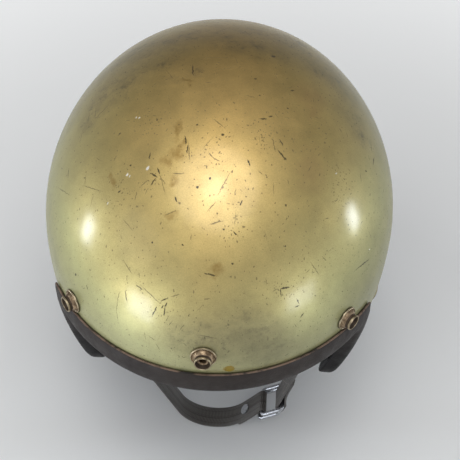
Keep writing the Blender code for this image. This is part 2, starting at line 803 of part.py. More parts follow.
class StrapPath:
    """Centre lines of the strap in its own plane, as (x, z)."""

    def __init__(self, anchor):
        self.anchor = anchor
        web, gap, wire = WEB_THICKNESS, GAP, RING_WIRE
        pivot = anchor.pivot
        rim = skin_over(pivot.y, -EAR_DEPTH)
        self.bend = Vector((pivot.x, pivot.z - TAB_DROP))
        self.rim = Vector((rim.x - STRAP_INSET, rim.z))
        self.start = Vector((pivot.x, pivot.z + WEB_WIDTH / 2))
        self.centre = Vector((0, pivot.z - STRAP_DROP + STRAP_ARC_RADIUS))
        self.radius = STRAP_ARC_RADIUS - web / 2
        self.layer = web + gap
        self.round_wire = wire / 2 + gap + web / 2
        self.fold_bearing = radians(FOLD_ANGLE) - pi / 2
        self.out = flat_direction(self.fold_bearing)
        self.onward = flat_direction(radians(FOLD_ANGLE))
        self.arc_end = self.centre + self.radius * self.out
        self.outer_bow = self.local(FOLD_RUN, self.round_wire)
        past_fold = self.round_wire + web / 2 + gap + wire / 2
        inner_height = self.layer + web / 2 + gap + wire / 2
        self.inner_bow_run = FOLD_RUN - past_fold
        self.inner_bow = self.local(self.inner_bow_run, inner_height)
        rise = inner_height - self.round_wire
        tilt = asin((wire + gap) / hypot(past_fold, rise)) - atan2(rise, past_fold)
        self.ring_direction = flat_direction(radians(FOLD_ANGLE) - tilt)
        self.inner_bar = self.inner_bow + RING_LENGTH * self.ring_direction
        self.outer_bar = self.outer_bow + RING_LENGTH * self.ring_direction
        self.hinge_run = self.inner_bow_run - wire / 2 - gap - web
        self.hinge = self.local(self.hinge_run, self.layer)
        self.button = self.local(self.hinge_run - BUTTON_REACH, 0)

    def local(self, run, height):
        """A point by its run past the arc's end and its height over the strap's middle."""
        return self.arc_end + run * self.onward + height * self.out

    def x_at(self, height):
        """How far out the leg below the bend lies at a height."""
        share = (height - self.bend.y) / (self.rim.y - self.bend.y)
        return self.bend.x + (self.rim.x - self.bend.x) * share

    def leg(self, foot):
        """The +X leg from its end to the foot, which is a point of the straight below the rim."""
        return ([self.start]
                + fillet(self.start, self.bend, self.rim, STRAP_BEND_RADIUS, STRAP_BEND_STEPS)
                + fillet(self.bend, self.rim, foot, STRAP_BEND_RADIUS, STRAP_BEND_STEPS))

    def long_strap(self):
        """Down the -X side, round below the chin and back round the outer ring."""
        touch = tangent_angle(Vector((-self.rim.x, self.rim.y)), self.centre, self.radius, 1)
        foot = self.centre + self.radius * flat_direction(touch)
        leg = [Vector((-p.x, p.y)) for p in self.leg(Vector((-foot.x, foot.y)))]
        end = 2 * pi + self.fold_bearing
        steps = ceil(self.radius * (end - touch) / STRAP_ARC_STEP)
        below = arc(self.centre, self.radius, touch, end, steps)
        fold = arc(self.outer_bow, self.round_wire, self.fold_bearing + pi,
                   self.fold_bearing - pi / 2, FOLD_STEPS)
        turn_radius = self.round_wire - self.layer
        turn_centre = fold[-1] - turn_radius * self.onward
        onward = radians(FOLD_ANGLE)
        turn = arc(turn_centre, turn_radius, onward, onward + pi / 2, TURN_STEPS)
        return leg + below + fold + turn[1:] + [self.local(self.hinge_run, self.layer)]

    def tail(self):
        """Back along the outside of the long strap."""
        root = self.hinge_run - TAIL_ROOT_GAP
        bent = TAIL_LENGTH - root
        radius = self.radius + self.layer
        steps = max(1, ceil(bent / STRAP_ARC_STEP))
        curve = arc(self.centre, radius, self.fold_bearing, self.fold_bearing - bent / radius,
                    steps)
        return [self.local(root, self.layer)] + curve

    def short_strap(self):
        """Down the +X side, round both rings' bars and back up to its stitching."""
        apart = bearing(self.inner_bar - self.outer_bar) % (2 * pi)
        first, touch = self.outer_bar, tangent_angle(self.rim, self.outer_bar, self.round_wire, 1)
        loop = arc(first, self.round_wire, touch, apart - pi / 2, 1)
        begin = apart - pi / 2
        if touch > begin:
            first = self.inner_bar
            begin = touch = tangent_angle(self.rim, first, self.round_wire, 1)
            loop = []
        foot = first + self.round_wire * flat_direction(touch)
        upward = (self.rim - foot).normalized()
        outward = Vector((upward.y, -upward.x))
        past_bar = (self.outer_bar - foot).dot(upward)
        join = foot + (past_bar + LOOP_JOIN) * upward + self.layer * outward
        leave = tangent_angle(join, self.outer_bar, self.round_wire, -1) + 2 * pi
        loop += arc(self.inner_bar, self.round_wire, begin, apart + pi / 2, LOOP_STEPS)
        loop += arc(self.outer_bar, self.round_wire, apart + pi / 2, leave, TURN_STEPS)
        return self.leg(foot)[:-1] + loop + [join, join + LOOP_STITCHED * upward]


def in_strap_plane(anchor, flat):
    return Vector((flat.x, anchor.pivot.y, flat.y))


def ribbon(model, name, anchor, path, carrier):
    """Webbing along a path in the strap's plane."""
    def build(bm):
        verts = [bm.verts.new((p.x, anchor.pivot.y - WEB_WIDTH / 2, p.y)) for p in path]
        edges = [bm.edges.new(pair) for pair in zip(verts, verts[1:])]
        grown = bmesh.ops.extrude_edge_only(bm, edges=edges)["geom"]
        moved = [item for item in grown if isinstance(item, bmesh.types.BMVert)]
        bmesh.ops.translate(bm, vec=ALONG * WEB_WIDTH, verts=moved)
    web = model.add(name, mesh_from(build, name), "grey_webbing", carrier)
    solidify(web, WEB_THICKNESS, 0)
    return web


def make_ring(model, name, anchor, bow, direction, carrier):
    """A wire ring from the middle of its bow to its straight bar."""
    half = WEB_WIDTH / 2 + GAP
    corners = ((half, RING_LENGTH - RING_CORNER, 0), (-half, RING_LENGTH - RING_CORNER, 1),
               (-half, RING_CORNER, 2), (half, RING_CORNER, 3))
    points = []
    for side, run, quarter in corners:
        for k in range(RING_CORNER_STEPS + 1):
            angle = pi / 2 * (quarter + k / RING_CORNER_STEPS)
            along = side + RING_CORNER * cos(angle)
            up = run + RING_CORNER * sin(angle)
            points.append(in_strap_plane(anchor, bow + up * direction) + along * ALONG)
    wire = bpy.data.curves.new(name, "CURVE")
    wire.dimensions = "3D"
    wire.bevel_depth = RING_WIRE / 2
    wire.bevel_resolution = 2
    spline = wire.splines.new("POLY")
    spline.points.add(len(points) - 1)
    for target, point in zip(spline.points, points):
        target.co = (*point, 1)
    spline.use_cyclic_u = True
    model.add(name, wire, "steel", carrier)


def post_profile():
    under = -(WEB_THICKNESS / 2 + GAP)
    top = WEB_THICKNESS / 2 + GAP + WEB_THICKNESS + GAP + POST_RISE
    return [(0, top), (POST_RADIUS, top), (POST_RADIUS, under), (POST_BASE_RADIUS, under),
            (POST_BASE_RADIUS, under - POST_BASE_THICKNESS), (0, under - POST_BASE_THICKNESS)]


def button_profile():
    """A domed cap on a sleeve that passes through the tail and grips the post."""
    tail_low = WEB_THICKNESS / 2 + GAP
    seat = tail_low + WEB_THICKNESS + GAP
    roof = seat + POST_RISE + GAP
    bore = POST_RADIUS + SOCKET_CLEARANCE
    sleeve = bore + SOCKET_WALL
    rise = BUTTON_HEIGHT - BUTTON_RIM
    dome = [(BUTTON_RADIUS * sin(pi / 2 * k / BUTTON_DOME_STEPS),
             seat + BUTTON_RIM + rise * cos(pi / 2 * k / BUTTON_DOME_STEPS))
            for k in range(BUTTON_DOME_STEPS + 1)]
    return dome + [(BUTTON_RADIUS, seat), (sleeve, seat), (sleeve, tail_low), (bore, tail_low),
                   (bore, roof), (0, roof)]


def make_strap(model, anchor):
    """The fastened strap, its rings and its tail, carried on their joint axes."""
    path = StrapPath(anchor)
    swing = Vector((0, anchor.pivot.y, anchor.pivot.z))
    strap_carrier = model.carrier("chin_strap_pivot", swing, model.frame)
    tail_carrier = model.carrier("strap_tail_pivot", in_strap_plane(anchor, path.hinge),
                                 strap_carrier)
    end_holes = [drill(model, "eyelet_hole_" + name, anchor.bore + EYELET_WALL + GAP, -OVERRUN,
                       OVERRUN, standing(mirrored(anchor.pivot, side), ACROSS))
                 for name, side in SIDES]
    button = standing(in_strap_plane(anchor, path.button), Vector((path.out.x, 0, path.out.y)))
    post_hole = drill(model, "post_hole", POST_RADIUS + GAP, -WEB_THICKNESS,
                      WEB_THICKNESS / 2 + GAP / 2, button)
    sleeve_hole = drill(model, "sleeve_hole",
                        POST_RADIUS + SOCKET_CLEARANCE + SOCKET_WALL + GAP,
                        WEB_THICKNESS / 2 + GAP / 2, WEB_THICKNESS * 2 + GAP * 2, button)
    cut(ribbon(model, "chin_strap_long", anchor, path.long_strap(), strap_carrier),
        end_holes[1], post_hole)
    cut(ribbon(model, "chin_strap_short", anchor, path.short_strap(), strap_carrier),
        end_holes[0])
    cut(ribbon(model, "strap_tail", anchor, path.tail(), tail_carrier), sleeve_hole)
    make_ring(model, "strap_ring_inner", anchor, path.inner_bow, path.ring_direction,
              strap_carrier)
    make_ring(model, "strap_ring_outer", anchor, path.outer_bow, path.ring_direction,
              strap_carrier)
    post = turned_mesh("tail_button_post", post_profile(), False)
    turn_round(model.add("tail_button_post", post, "steel", strap_carrier, button))
    cap = turned_mesh("tail_button_cap", button_profile(), False)
    turn_round(model.add("tail_button_cap", cap, "steel", tail_carrier, button))
    return strap_carrier


def main():
    reset_scene()
    model = Model()
    anchor = Anchor()
    stud_holes, stud_pockets = make_studs(model)
    strap_carrier = make_strap(model, anchor)
    rivet_holes = make_anchors(model, anchor, strap_carrier)
    make_shell(model, stud_holes + rivet_holes)
    make_band(model)
    make_liner(model, stud_pockets + strap_pockets(model, anchor))
    make_pads(model)


main()
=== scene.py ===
"""Looks of the open-face motorcycle helmet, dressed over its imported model."""
import json
from bisect import bisect_left
from itertools import accumulate
from math import atan2, cos, hypot, pi, radians, sin, sqrt, tan

import bmesh
import bpy
from mathutils import Matrix, Vector
from mathutils.bvhtree import BVHTree

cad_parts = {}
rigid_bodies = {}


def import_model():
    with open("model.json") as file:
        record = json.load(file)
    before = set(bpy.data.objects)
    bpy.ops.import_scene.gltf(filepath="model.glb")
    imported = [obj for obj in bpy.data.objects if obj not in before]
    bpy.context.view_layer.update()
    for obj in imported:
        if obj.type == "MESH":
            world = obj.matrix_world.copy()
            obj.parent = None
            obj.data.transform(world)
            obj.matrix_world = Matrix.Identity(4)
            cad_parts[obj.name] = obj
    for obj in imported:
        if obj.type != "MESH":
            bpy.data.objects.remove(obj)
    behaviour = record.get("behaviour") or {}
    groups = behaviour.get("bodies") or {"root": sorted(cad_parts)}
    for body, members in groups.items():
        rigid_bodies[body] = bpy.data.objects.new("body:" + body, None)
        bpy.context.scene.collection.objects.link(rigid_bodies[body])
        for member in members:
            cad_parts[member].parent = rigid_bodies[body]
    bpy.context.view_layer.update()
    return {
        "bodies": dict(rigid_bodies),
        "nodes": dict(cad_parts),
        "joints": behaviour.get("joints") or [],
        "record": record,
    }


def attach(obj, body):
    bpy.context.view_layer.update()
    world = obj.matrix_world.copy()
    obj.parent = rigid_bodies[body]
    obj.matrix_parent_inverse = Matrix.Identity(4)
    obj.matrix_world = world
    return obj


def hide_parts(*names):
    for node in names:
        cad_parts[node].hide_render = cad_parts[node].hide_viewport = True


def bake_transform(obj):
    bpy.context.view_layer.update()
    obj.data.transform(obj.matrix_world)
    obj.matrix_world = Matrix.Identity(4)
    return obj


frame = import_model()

# Sizes of the part, in metres
SEAT_HEIGHT = 0.0818
SHELL_HALF_WIDTH = 0.123
SHELL_HALF_LENGTH = 0.1445
CROWN_HEIGHT = 0.124
SIDE_DRAW = 0.170
END_DRAW = 0.230
SHELL_WALL = 0.0035
PAINT_EDGE = 0.0004
RIM_FRONT = (-0.1445, -0.0197)
RIM_TEMPLE = (-0.082, -0.0242)
RIM_JAW = (-0.076, -0.098)
RIM_EAR = (0.005, -0.112)
RIM_NAPE = (0.1445, -0.104)
TEMPLE_RADIUS = 0.012
JAW_RADIUS = 0.024
EAR_RADIUS = 0.300
RIM_OVERRUN = 0.02
RIM_FINENESS = 600
STEM_HOLE = 0.0028
STUDS = (("center", 0, 0.009), ("left", 46.3, 0.001), ("right", -46.3, 0.001))
STRAP_RIVET_SEAT = (-0.0315, -0.050)

SIDES = (("left", 1), ("right", -1))
UP = Vector((0, 0, 1))
ACROSS = Vector((1, 0, 0))
WIDEST = Vector((0, 0, -SEAT_HEIGHT))

# Starts of the modelling: a torus of radius 1, and distances that count as none
START_WIRE = 0.25
SAME_SPOT = 0.00001
SAME_LEVEL = 0.00005
POLE = 0.000001


# Helpers for modelling

def clear_selection():
    if bpy.context.object and bpy.context.object.mode != "OBJECT":
        bpy.ops.object.mode_set(mode="OBJECT")
    bpy.ops.object.select_all(action="DESELECT")


def choose(piece):
    clear_selection()
    piece.select_set(True)
    bpy.context.view_layer.objects.active = piece


def start_piece(name, primitive, **sizes):
    """A primitive, alone selected and open for editing."""
    clear_selection()
    primitive(**sizes)
    piece = bpy.context.object
    piece.name = piece.data.name = name
    bpy.ops.object.mode_set(mode="EDIT")
    bpy.ops.mesh.select_mode(type="VERT")
    return piece


def start_torus(name, around, sides):
    return start_piece(name, bpy.ops.mesh.primitive_torus_add, major_segments=around,
                       minor_segments=sides, major_radius=1, minor_radius=START_WIRE)


def station(co, count):
    """Which of the even steps round a start circle or torus a vertex stands at."""
    return round(atan2(co.y, co.x) / (2 * pi) * count) % count


def edit_each(part, rule):
    """Gives a part of every edited vertex, its place or its selection, by a rule on its place."""
    mesh = bpy.context.edit_object.data
    shape = bmesh.from_edit_mesh(mesh)
    for vert in shape.verts:
        setattr(vert, part, rule(vert.co))
    shape.select_flush_mode()
    bmesh.update_edit_mesh(mesh)


def pick(test):
    edit_each("select", test)


def pick_all():
    bpy.ops.mesh.select_all(action="SELECT")


def move_each(place):
    edit_each("co", place)


def face_outwards():
    pick_all()
    bpy.ops.mesh.remove_doubles(threshold=SAME_SPOT)
    bpy.ops.mesh.normals_make_consistent(inside=False)


def end_piece(piece, smooth_angle=35):
    """Back to the object, its place in its mesh and its faces smooth up to an angle."""
    choose(piece)
    bpy.ops.object.transform_apply(location=True, rotation=True, scale=True)
    bpy.ops.object.shade_smooth_by_angle(angle=radians(smooth_angle))
    return piece


def apply_modifiers(piece):
    choose(piece)
    for modifier in list(piece.modifiers):
        bpy.ops.object.modifier_apply(modifier=modifier.name)


def modify(piece, kind, **settings):
    """Adds one modifier and applies it."""
    modifier = piece.modifiers.new(kind.lower(), kind)
    for key, value in settings.items():
        setattr(modifier, key, value)
    apply_modifiers(piece)


def subtract(piece, *cutters):
    for cutter in cutters:
        modify(piece, "BOOLEAN", operation="DIFFERENCE", solver="EXACT", object=cutter)
        bpy.data.objects.remove(cutter)


def drill(radius, depth, matrix):
    """A round cutter."""
    clear_selection()
    bpy.ops.mesh.primitive_cylinder_add(vertices=32, radius=radius, depth=depth)
    hole = bpy.context.object
    hole.matrix_world = matrix
    return hole


def bent_wire(name, frames, radius, sides):
    """A round wire through a closed run of places, each with its two ways across."""
    count = len(frames)
    wire = start_torus(name, count, sides)

    def place(co):
        middle, aside, lift = frames[station(co, count)]
        return middle + (aside * (hypot(co.x, co.y) - 1) + lift * co.z) * (radius / START_WIRE)
    move_each(place)
    face_outwards()
    return end_piece(wire, 80)


def standing(origin, direction):
    return Matrix.Translation(origin) @ UP.rotation_difference(direction).to_matrix().to_4x4()


def length_of(points):
    return sum((b - a).length for a, b in zip(points, points[1:]))


def spread(points, count):
    """Evenly spaced places along a run of points, the last of them left out."""
    length = length_of(points)
    even, done, k = [], 0, 0
    for part in range(count):
        goal = length * part / count
        while done + (points[k + 1] - points[k]).length < goal:
            done += (points[k + 1] - points[k]).length
            k += 1
        share = (goal - done) / (points[k + 1] - points[k]).length
        even.append(points[k].lerp(points[k + 1], share))
    return even


# Shape of the shell, from its widest level

def half_axes(height):
    if height > 0:
        share = sqrt(max(0, 1 - (height / CROWN_HEIGHT) ** 2))
        return SHELL_HALF_WIDTH * share, SHELL_HALF_LENGTH * share
    return (SHELL_HALF_WIDTH * sqrt(1 - (height / SIDE_DRAW) ** 2),
            SHELL_HALF_LENGTH * sqrt(1 - (height / END_DRAW) ** 2))


def skin_normal(point):
    if point.z > 0:
        return Vector((point.x / SHELL_HALF_WIDTH ** 2, point.y / SHELL_HALF_LENGTH ** 2,
                       point.z / CROWN_HEIGHT ** 2)).normalized()
    across, along = half_axes(point.z)
    rise = (point.x ** 2 * SHELL_HALF_WIDTH ** 2 * point.z / (SIDE_DRAW ** 2 * across ** 4)
            + point.y ** 2 * SHELL_HALF_LENGTH ** 2 * point.z / (END_DRAW ** 2 * along ** 4))
    return Vector((point.x / across ** 2, point.y / along ** 2, rise)).normalized()


def skin_point(turn, height, depth=0):
    across, along = half_axes(height)
    point = Vector((across * sin(turn), -along * cos(turn), height))
    return point - depth * skin_normal(point)


def skin_over(y, z):
    """The shell's +X side at a point of the side view."""
    across, along = half_axes(z)
    return Vector((across * sqrt(max(0, 1 - (y / along) ** 2)), y, z))


def crown_over(x, y):
    """The crown above a point of the top view."""
    return Vector((x, y, CROWN_HEIGHT * sqrt(1 - (x / SHELL_HALF_WIDTH) ** 2
                                             - (y / SHELL_HALF_LENGTH) ** 2)))


def onto_skin(point):
    """The shell's surface straight out from a point, at its level."""
    across, along = half_axes(point.z)
    size = hypot(point.x / across, point.y / along)
    return Vector((point.x / size, point.y / size, point.z))


def onto_shell(point):
    """The shell's surface beyond a point inside it."""
    if point.z <= 0:
        return onto_skin(point)
    return point / hypot(point.x / SHELL_HALF_WIDTH, point.y / SHELL_HALF_LENGTH,
                         point.z / CROWN_HEIGHT)


def below_skin(point):
    """How far a point lies under the shell's surface, and the way out."""
    base = onto_shell(point)
    for _ in range(3):
        normal = skin_normal(base)
        base = onto_shell(point + normal * (base - point).dot(normal))
    normal = skin_normal(base)
    return (base - point).dot(normal), normal


def turn_of(point):
    """The angle round the head from straight ahead."""
    across, along = half_axes(min(point.z, 0))
    return atan2(point.x / across, -point.y / along)


def fillet(before, corner, after, radius, steps):
    to_before, to_after = (before - corner).normalized(), (after - corner).normalized()
    half = to_before.angle(to_after) / 2
    centre = corner + (to_before + to_after).normalized() * (radius / sin(half))
    start, end = (corner + way * (radius / tan(half)) - centre for way in (to_before, to_after))
    sweep = pi - 2 * half
    if start.x * end.y < start.y * end.x:
        sweep = -sweep
    return [centre + Matrix.Rotation(sweep * k / steps, 2) @ start for k in range(steps + 1)]


def rim_outline():
    """The rim in side view, from ahead of the brow to behind the nape."""
    front, temple, jaw, ear, nape = (Vector(p) for p in
                                     (RIM_FRONT, RIM_TEMPLE, RIM_JAW, RIM_EAR, RIM_NAPE))
    return ([front + (front - temple).normalized() * RIM_OVERRUN]
            + fillet(front, temple, jaw, TEMPLE_RADIUS, 10)
            + fillet(temple, jaw, ear, JAW_RADIUS, 12)
            + fillet(jaw, ear, nape, EAR_RADIUS, 10)
            + [nape + (nape - ear).normalized() * RIM_OVERRUN])


def leave_skin(inside, outside):
    """Where a line of the side view leaves the shell's outline."""
    for _ in range(60):
        middle = (inside + outside) / 2
        if abs(middle.x) < half_axes(middle.y)[1]:
            inside = middle
        else:
            outside = middle
    return inside


def rim_stations(count):
    """Flat points of the rim's +X half, evenly spread on the shell between its two middles."""
    outline = rim_outline()
    outline[0] = leave_skin(outline[1], outline[0])
    outline[-1] = leave_skin(outline[-2], outline[-1])
    fine = []
    for a, b in zip(outline, outline[1:]):
        fine += [a.lerp(b, (1 - cos(pi * k / RIM_FINENESS)) / 2)
                 for k in range(RIM_FINENESS)]
    fine.append(outline[-1])
    solid = [skin_over(p.x, p.y) for p in fine]
    run = [0, *accumulate((b - a).length for a, b in zip(solid, solid[1:]))]
    return [fine[bisect_left(run, run[-1] * part / count, hi=len(run) - 1)]
            for part in range(count + 1)]


def stud_places():
    for name, turn, height in STUDS:
        point = skin_point(radians(turn), height)
        yield name, standing(point + WIDEST, skin_normal(point))


def strap_rivet_places():
    for name, side in SIDES:
        seat = skin_over(*STRAP_RIVET_SEAT)
        normal = skin_normal(seat)
        seat.x, normal.x = side * seat.x, side * normal.x
        yield name, standing(seat + WIDEST, normal)


# Materials

class Nodes:
    """A node tree, with short ways to add to it."""

    def __init__(self, tree):
        self.tree = tree

    def put(self, socket, value):
        if isinstance(value, bpy.types.NodeSocket):
            self.tree.links.new(value, socket)
        else:
            socket.default_value = value

    def node(self, kind, inputs=(), **settings):
        made = self.tree.nodes.new("ShaderNode" + kind)
        for key, value in settings.items():
            setattr(made, key, value)
        for key, value in dict(inputs).items():
            self.put(made.inputs[key], value)
        return made

    def calc(self, operation, a, b=0.0, c=0.0, clamp=False):
        return self.node("Math", enumerate((a, b, c)), operation=operation,
                         use_clamp=clamp).outputs[0]

    def times(self, first, *others):
        for other in others:
            first = self.calc("MULTIPLY", first, other)
        return first

    def vector_calc(self, operation, a, b=(0, 0, 0)):
        return self.node("VectorMath", {0: a, 1: b}, operation=operation).outputs["Vector"]

    def length(self, vector):
        return self.node("VectorMath", {0: vector}, operation="LENGTH").outputs["Value"]

    def split(self, vector):
        return self.node("SeparateXYZ", {0: vector}).outputs

    def level(self, value, low, high, out_low=0.0, out_high=1.0):
        return self.node("MapRange", enumerate((value, low, high, out_low, out_high)),
                         clamp=True).outputs["Result"]

    def mix(self, share, a, b, blend="MIX"):
        """Two colours in shares. The node's colours are its sockets 6 and 7, its output 2."""
        a, b = (c if isinstance(c, bpy.types.NodeSocket) else (*c, 1) for c in (a, b))
        return self.node("Mix", {0: share, 6: a, 7: b}, data_type="RGBA", blend_type=blend,
                         clamp_result=False).outputs[2]

    def oval(self, vector, middle, size, turn=0):
        """Distance from the middle of an oval, 1 on its edge."""
        return self.length(self.node("Mapping", {
            "Vector": vector, "Location": middle, "Rotation": (0, 0, turn),
            "Scale": size}, vector_type="TEXTURE").outputs["Vector"])


class Finish(Nodes):
    """A material on one shader, its patterns held to the object's own place."""

    def __init__(self, name, **settings):
        self.material = bpy.data.materials.new(name)
        self.material.use_nodes = True
        super().__init__(self.material.node_tree)
        self.shader = self.tree.nodes["Principled BSDF"]
        self.object_place = self.node("TexCoord").outputs["Object"]
        self.set(**settings)

    def set(self, **sockets):
        for name, value in sockets.items():
            self.put(self.shader.inputs[name.replace("_", " ")], value)

    def noise(self, scale, detail=2, rough=0.5, output="Fac"):
        return self.node("TexNoise", {"Vector": self.object_place, "Scale": scale,
                                      "Detail": detail, "Roughness": rough}).outputs[output]

    def cells(self, scale):
        return self.node("TexVoronoi", {"Vector": self.object_place,
                                        "Scale": scale}).outputs["Distance"]

    def raise_by(self, height, strength, distance):
        bump = self.node("Bump", {"Height": height, "Strength": strength, "Distance": distance})
        self.set(Normal=bump.outputs["Normal"])


def give(piece, *finishes):
    piece.data.materials.clear()
    for one in finishes:
        piece.data.materials.append(one.material)


# Knocks, stains and dirt of the paint, and patches of painted shade, in millimetres on the crown
# rolled out flat from its top

DEEP_SCRATCHES = (
    (-19.3, -0.8, -18, -9.7), (46.1, -11, 48.6, -9.7), (32.3, 15.1, 33.5, 16.6),
    (32.6, -34.7, 34.9, -33.8), (27.1, -37.4, 30.9, -36.7), (-66.5, -43.2, -65.2, -42.3),
    (-19.1, -52.3, -18.2, -56.8), (-17.3, -61.9, -16.9, -57.9), (-41.9, -60.1, -42.4, -63.4),
    (-36, -69.8, -34.9, -72.8), (-41, -72.1, -36.7, -74.5), (-37.6, -75.4, -40.1, -78.6),
    (40.5, -54.1, 45.8, -58), (41.4, -47.7, 43.4, -50.2), (122.9, -17.9, 122, -24.7),
    (21.7, -63.8, 23.2, -66.5), (-23.4, -87.2, -22.2, -89.5), (20.5, -87.3, 19.7, -89.2),
    (16.8, -104.6, 18.8, -105.7), (-65, -79.3, -63.5, -78.7), (-115.3, -46.9, -116.1, -52.6),
    (-107.8, -129.5, -107.8, -132.8), (-44, -156.9, -38.8, -150.4), (-30.1, -147.9, -31.8, -150.7),
    (-34.3, -146.5, -30, -145.2), (-33.5, -150.1, -34.8, -151.3), (-32, -151.3, -33.1, -156),
    (-65.5, -139.5, -65.5, -145.8), (-54.6, -136.1, -49.8, -138.8), (57.3, -132, 63.7, -130.1),
    (56.9, -132.7, 58.5, -136.2), (73.2, -136.5, 75.9, -138.5), (73.5, -141.6, 76.1, -140.1),
    (81.5, -147.5, 83, -143.9), (125.5, -101.9, 140.8, -87.1), (-1.2, -129.2, 6.7, -130.3),
    (176, 18, 182, 24), (205, -22, 207, -14), (168, 62, 170, 71), (-182, 30, -176, 37),
    (-204, -8, -199, -12), (-158, 84, -150, 90), (34, 172, 42, 176), (-52, 190, -47, 183),
    (120, 158, 126, 152),
)
FINE_SCRATCHES = (
    (-4.3, -6, 8.4, -1.8), (7.8, 6.8, 9.8, 1.3), (-12.4, 5.7, 7.2, 5.8), (-9.6, -15.7, -5.2, -16.4),
    (-90.4, -10.9, -89.6, -22.2), (-96.5, -13.1, -96.8, -20.8),
    (-89.4, -22.1, -78, -16.3), (-2.7, -40.9, 5, -46.2), (-16.4, -56.5, -15.4, -66.6),
    (-30.1, -96.6, -22.8, -94.5), (-25.9, -73.5, -18.6, -73.8), (-131.2, -52.6, -113.4, -66.7),
    (-94.6, -60.7, -95.8, -66.6), (-97.1, -66.6, -80, -75.3), (10.9, -72.7, 4.6, -85),
    (3.1, -89.6, -1.8, -94.7), (-3.2, -61.9, -0.4, -64.7), (-0.4, -64.7, 3, -66),
    (36.5, -48.2, 38.8, -54.8), (118, -7.2, 119.9, -16.3), (107.7, -41.7, 110.1, -47.1),
    (0.6, -101.6, 8.9, -99.1), (-51.9, -85.6, -50.6, -81.5), (-47.6, -78.6, -42.8, -75.9),
    (-34.8, -74.1, -30.7, -79), (34.1, -0, 36.7, -6.1),
    (17.3, -23.1, 22.5, -23.8), (-63.5, -120.2, -57.2, -128.8), (-71, -138.7, -75, -145),
    (-75, -145, -78.7, -152.1), (-78.7, -152.1, -80, -160.2), (-50.6, -136.4, -36, -148.3),
    (-26.7, -144.2, -19.1, -142.2), (-32, -160.1, -29.4, -156.9),
    (-30.3, -163.5, -26.9, -160.6), (-24.1, -166, -23.1, -162.9), (-20.6, -166.6, -17, -162.9),
    (-0.5, -144.8, 3.6, -144.1), (-53.9, -168.7, -54.1, -174.4), (-51.1, -171.4, -44.6, -175.2),
    (51.3, -134.6, 53.9, -133.2), (76.9, -111.8, 87.3, -117.1),
    (-11.5, -107.6, -11.9, -110.4), (-4.6, -169.6, 11.2, -171.1),
    (86.2, -105.8, 89.9, -106.9), (-44.6, -177.9, -42.1, -182.7),
    (188, -2, 204, 10), (214, 20, 219, 38), (160, 96, 176, 101), (-190, 52, -206, 60),
    (-171, -6, -177, 10), (-214, 8, -210, 25), (-96, 176, -84, 185), (12, 205, 30, 199),
    (70, 198, 76, 214),
)
PITS = (
    (22, -9.4, 1.3), (44.6, -25.1, 1.3), (25.6, -21.4, 1.1), (-38.8, -39.8, 1.2),
    (-12.1, -45.1, 1.3), (4.4, -50.8, 1.5), (-55.8, -65.1, 1.2), (-1.4, -76.4, 1.2),
    (-9.1, -81.5, 1.3), (113.9, -36.1, 1.3), (50.2, -84.2, 1.1), (45.8, -58, 1.6),
    (-120.4, -119.4, 1.9), (-39.4, -111.5, 1.2), (-17.7, -113.6, 1.2), (54.4, -107.2, 1.2),
    (18.1, -122.3, 1.2), (-12.6, -156.3, 0.9), (10, -103.8, 1.1), (33, 15.8, 2.4),
)
PALE_CHIPS = (
    (-58.2, -70.2, 1.3), (-56.4, -71.6, 0.8), (-43.1, -68.9, 1.5), (-53.9, -34.9, 0.8),
    (-51.7, -35.5, 0.9), (-74.2, -84, 0.9), (85.2, -53.3, 0.8), (136.5, -82, 0.9),
)
VARNISH_STAINS = (
    (-24.1, -61, 6.5, 5.5), (-19.5, -56, 4, 3.5), (-29, -66, 5, 3.5), (-24.5, -47, 3, 7.5),
    (-23.9, -76, 3.5, 3), (-70, -70, 3.5, 4.5), (6.5, -127, 6.5, 4.2), (-26, -95.6, 5, 1.8),
    (-22, -15, 6, 2),
)
# Dirt clouds; those low on the front are painted shade.
GRIME_AND_SHADE_CLOUDS = (
    (-70, -7, 16, 12), (60, -172, 32, 15), (-48, 8, 26, 13), (-33, 30, 34, 10),
    (-92, -16, 12, 10), (12, 26, 40, 12), (74, 26, 22, 14), (48, 44, 40, 16),
    (-60, 30, 24, 18), (12, -172, 55, 16), (-19, -5, 7, 9), (-30, -12, 9, 7),
    (103, -10, 12, 14),
)
SPECK_CLUSTERS = (
    (-38, -76, 9, 6), (-62, -82, 8, 8), (-2, -66, 8, 7), (-72, -92, 7, 8), (-20, -62, 7, 8),
    (60, -132, 9, 7), (-34, -150, 9, 7), (34, -44, 9, 8), (-44, -40, 10, 8), (92, -60, 9, 9),
    (14, -100, 8, 6),
)
RUBBED_RED = ((63.7, -20.4, 6, 4), (60, -9, 10, 8), (66, -60, 9, 12))
CROWN_ROLL = 0.125
SOCKET_LIMIT = 6
UNSEEN = 0.000000001
NEVER = 50.0
DEEP_HALF, FINE_HALF = 0.46, 0.34
# Painted shade over the lower front of the shell.
BROW_SHADE = ((46, -174, 70, 30),)
YELLOW_DRIP = ((0.0160, -0.1432, -0.0846), (0.0042, 0.006, 0.0034))


def rolled_out(paint):
    """A flat map of the crown in metres, and the shell's slope in its three parts."""
    centred = paint.vector_calc("ADD", paint.object_place, (0, 0, SEAT_HEIGHT))
    ball = paint.vector_calc("DIVIDE", centred,
                             (SHELL_HALF_WIDTH, SHELL_HALF_LENGTH, CROWN_HEIGHT))
    slope = paint.split(paint.vector_calc("NORMALIZE", ball))
    upward = slope["Z"]
    polar = paint.calc("ARCCOSINE", upward)
    sine = paint.calc("SQRT", paint.calc("SUBTRACT", 1.0001, paint.times(upward, upward)))
    reach = paint.times(paint.calc("DIVIDE", polar, sine), CROWN_ROLL)
    sideways = paint.node("CombineXYZ", {0: slope["X"], 1: slope["Y"]}).outputs[0]
    flat = paint.node("VectorMath", {0: sideways, "Scale": reach}, operation="SCALE")
    return flat.outputs["Vector"], slope


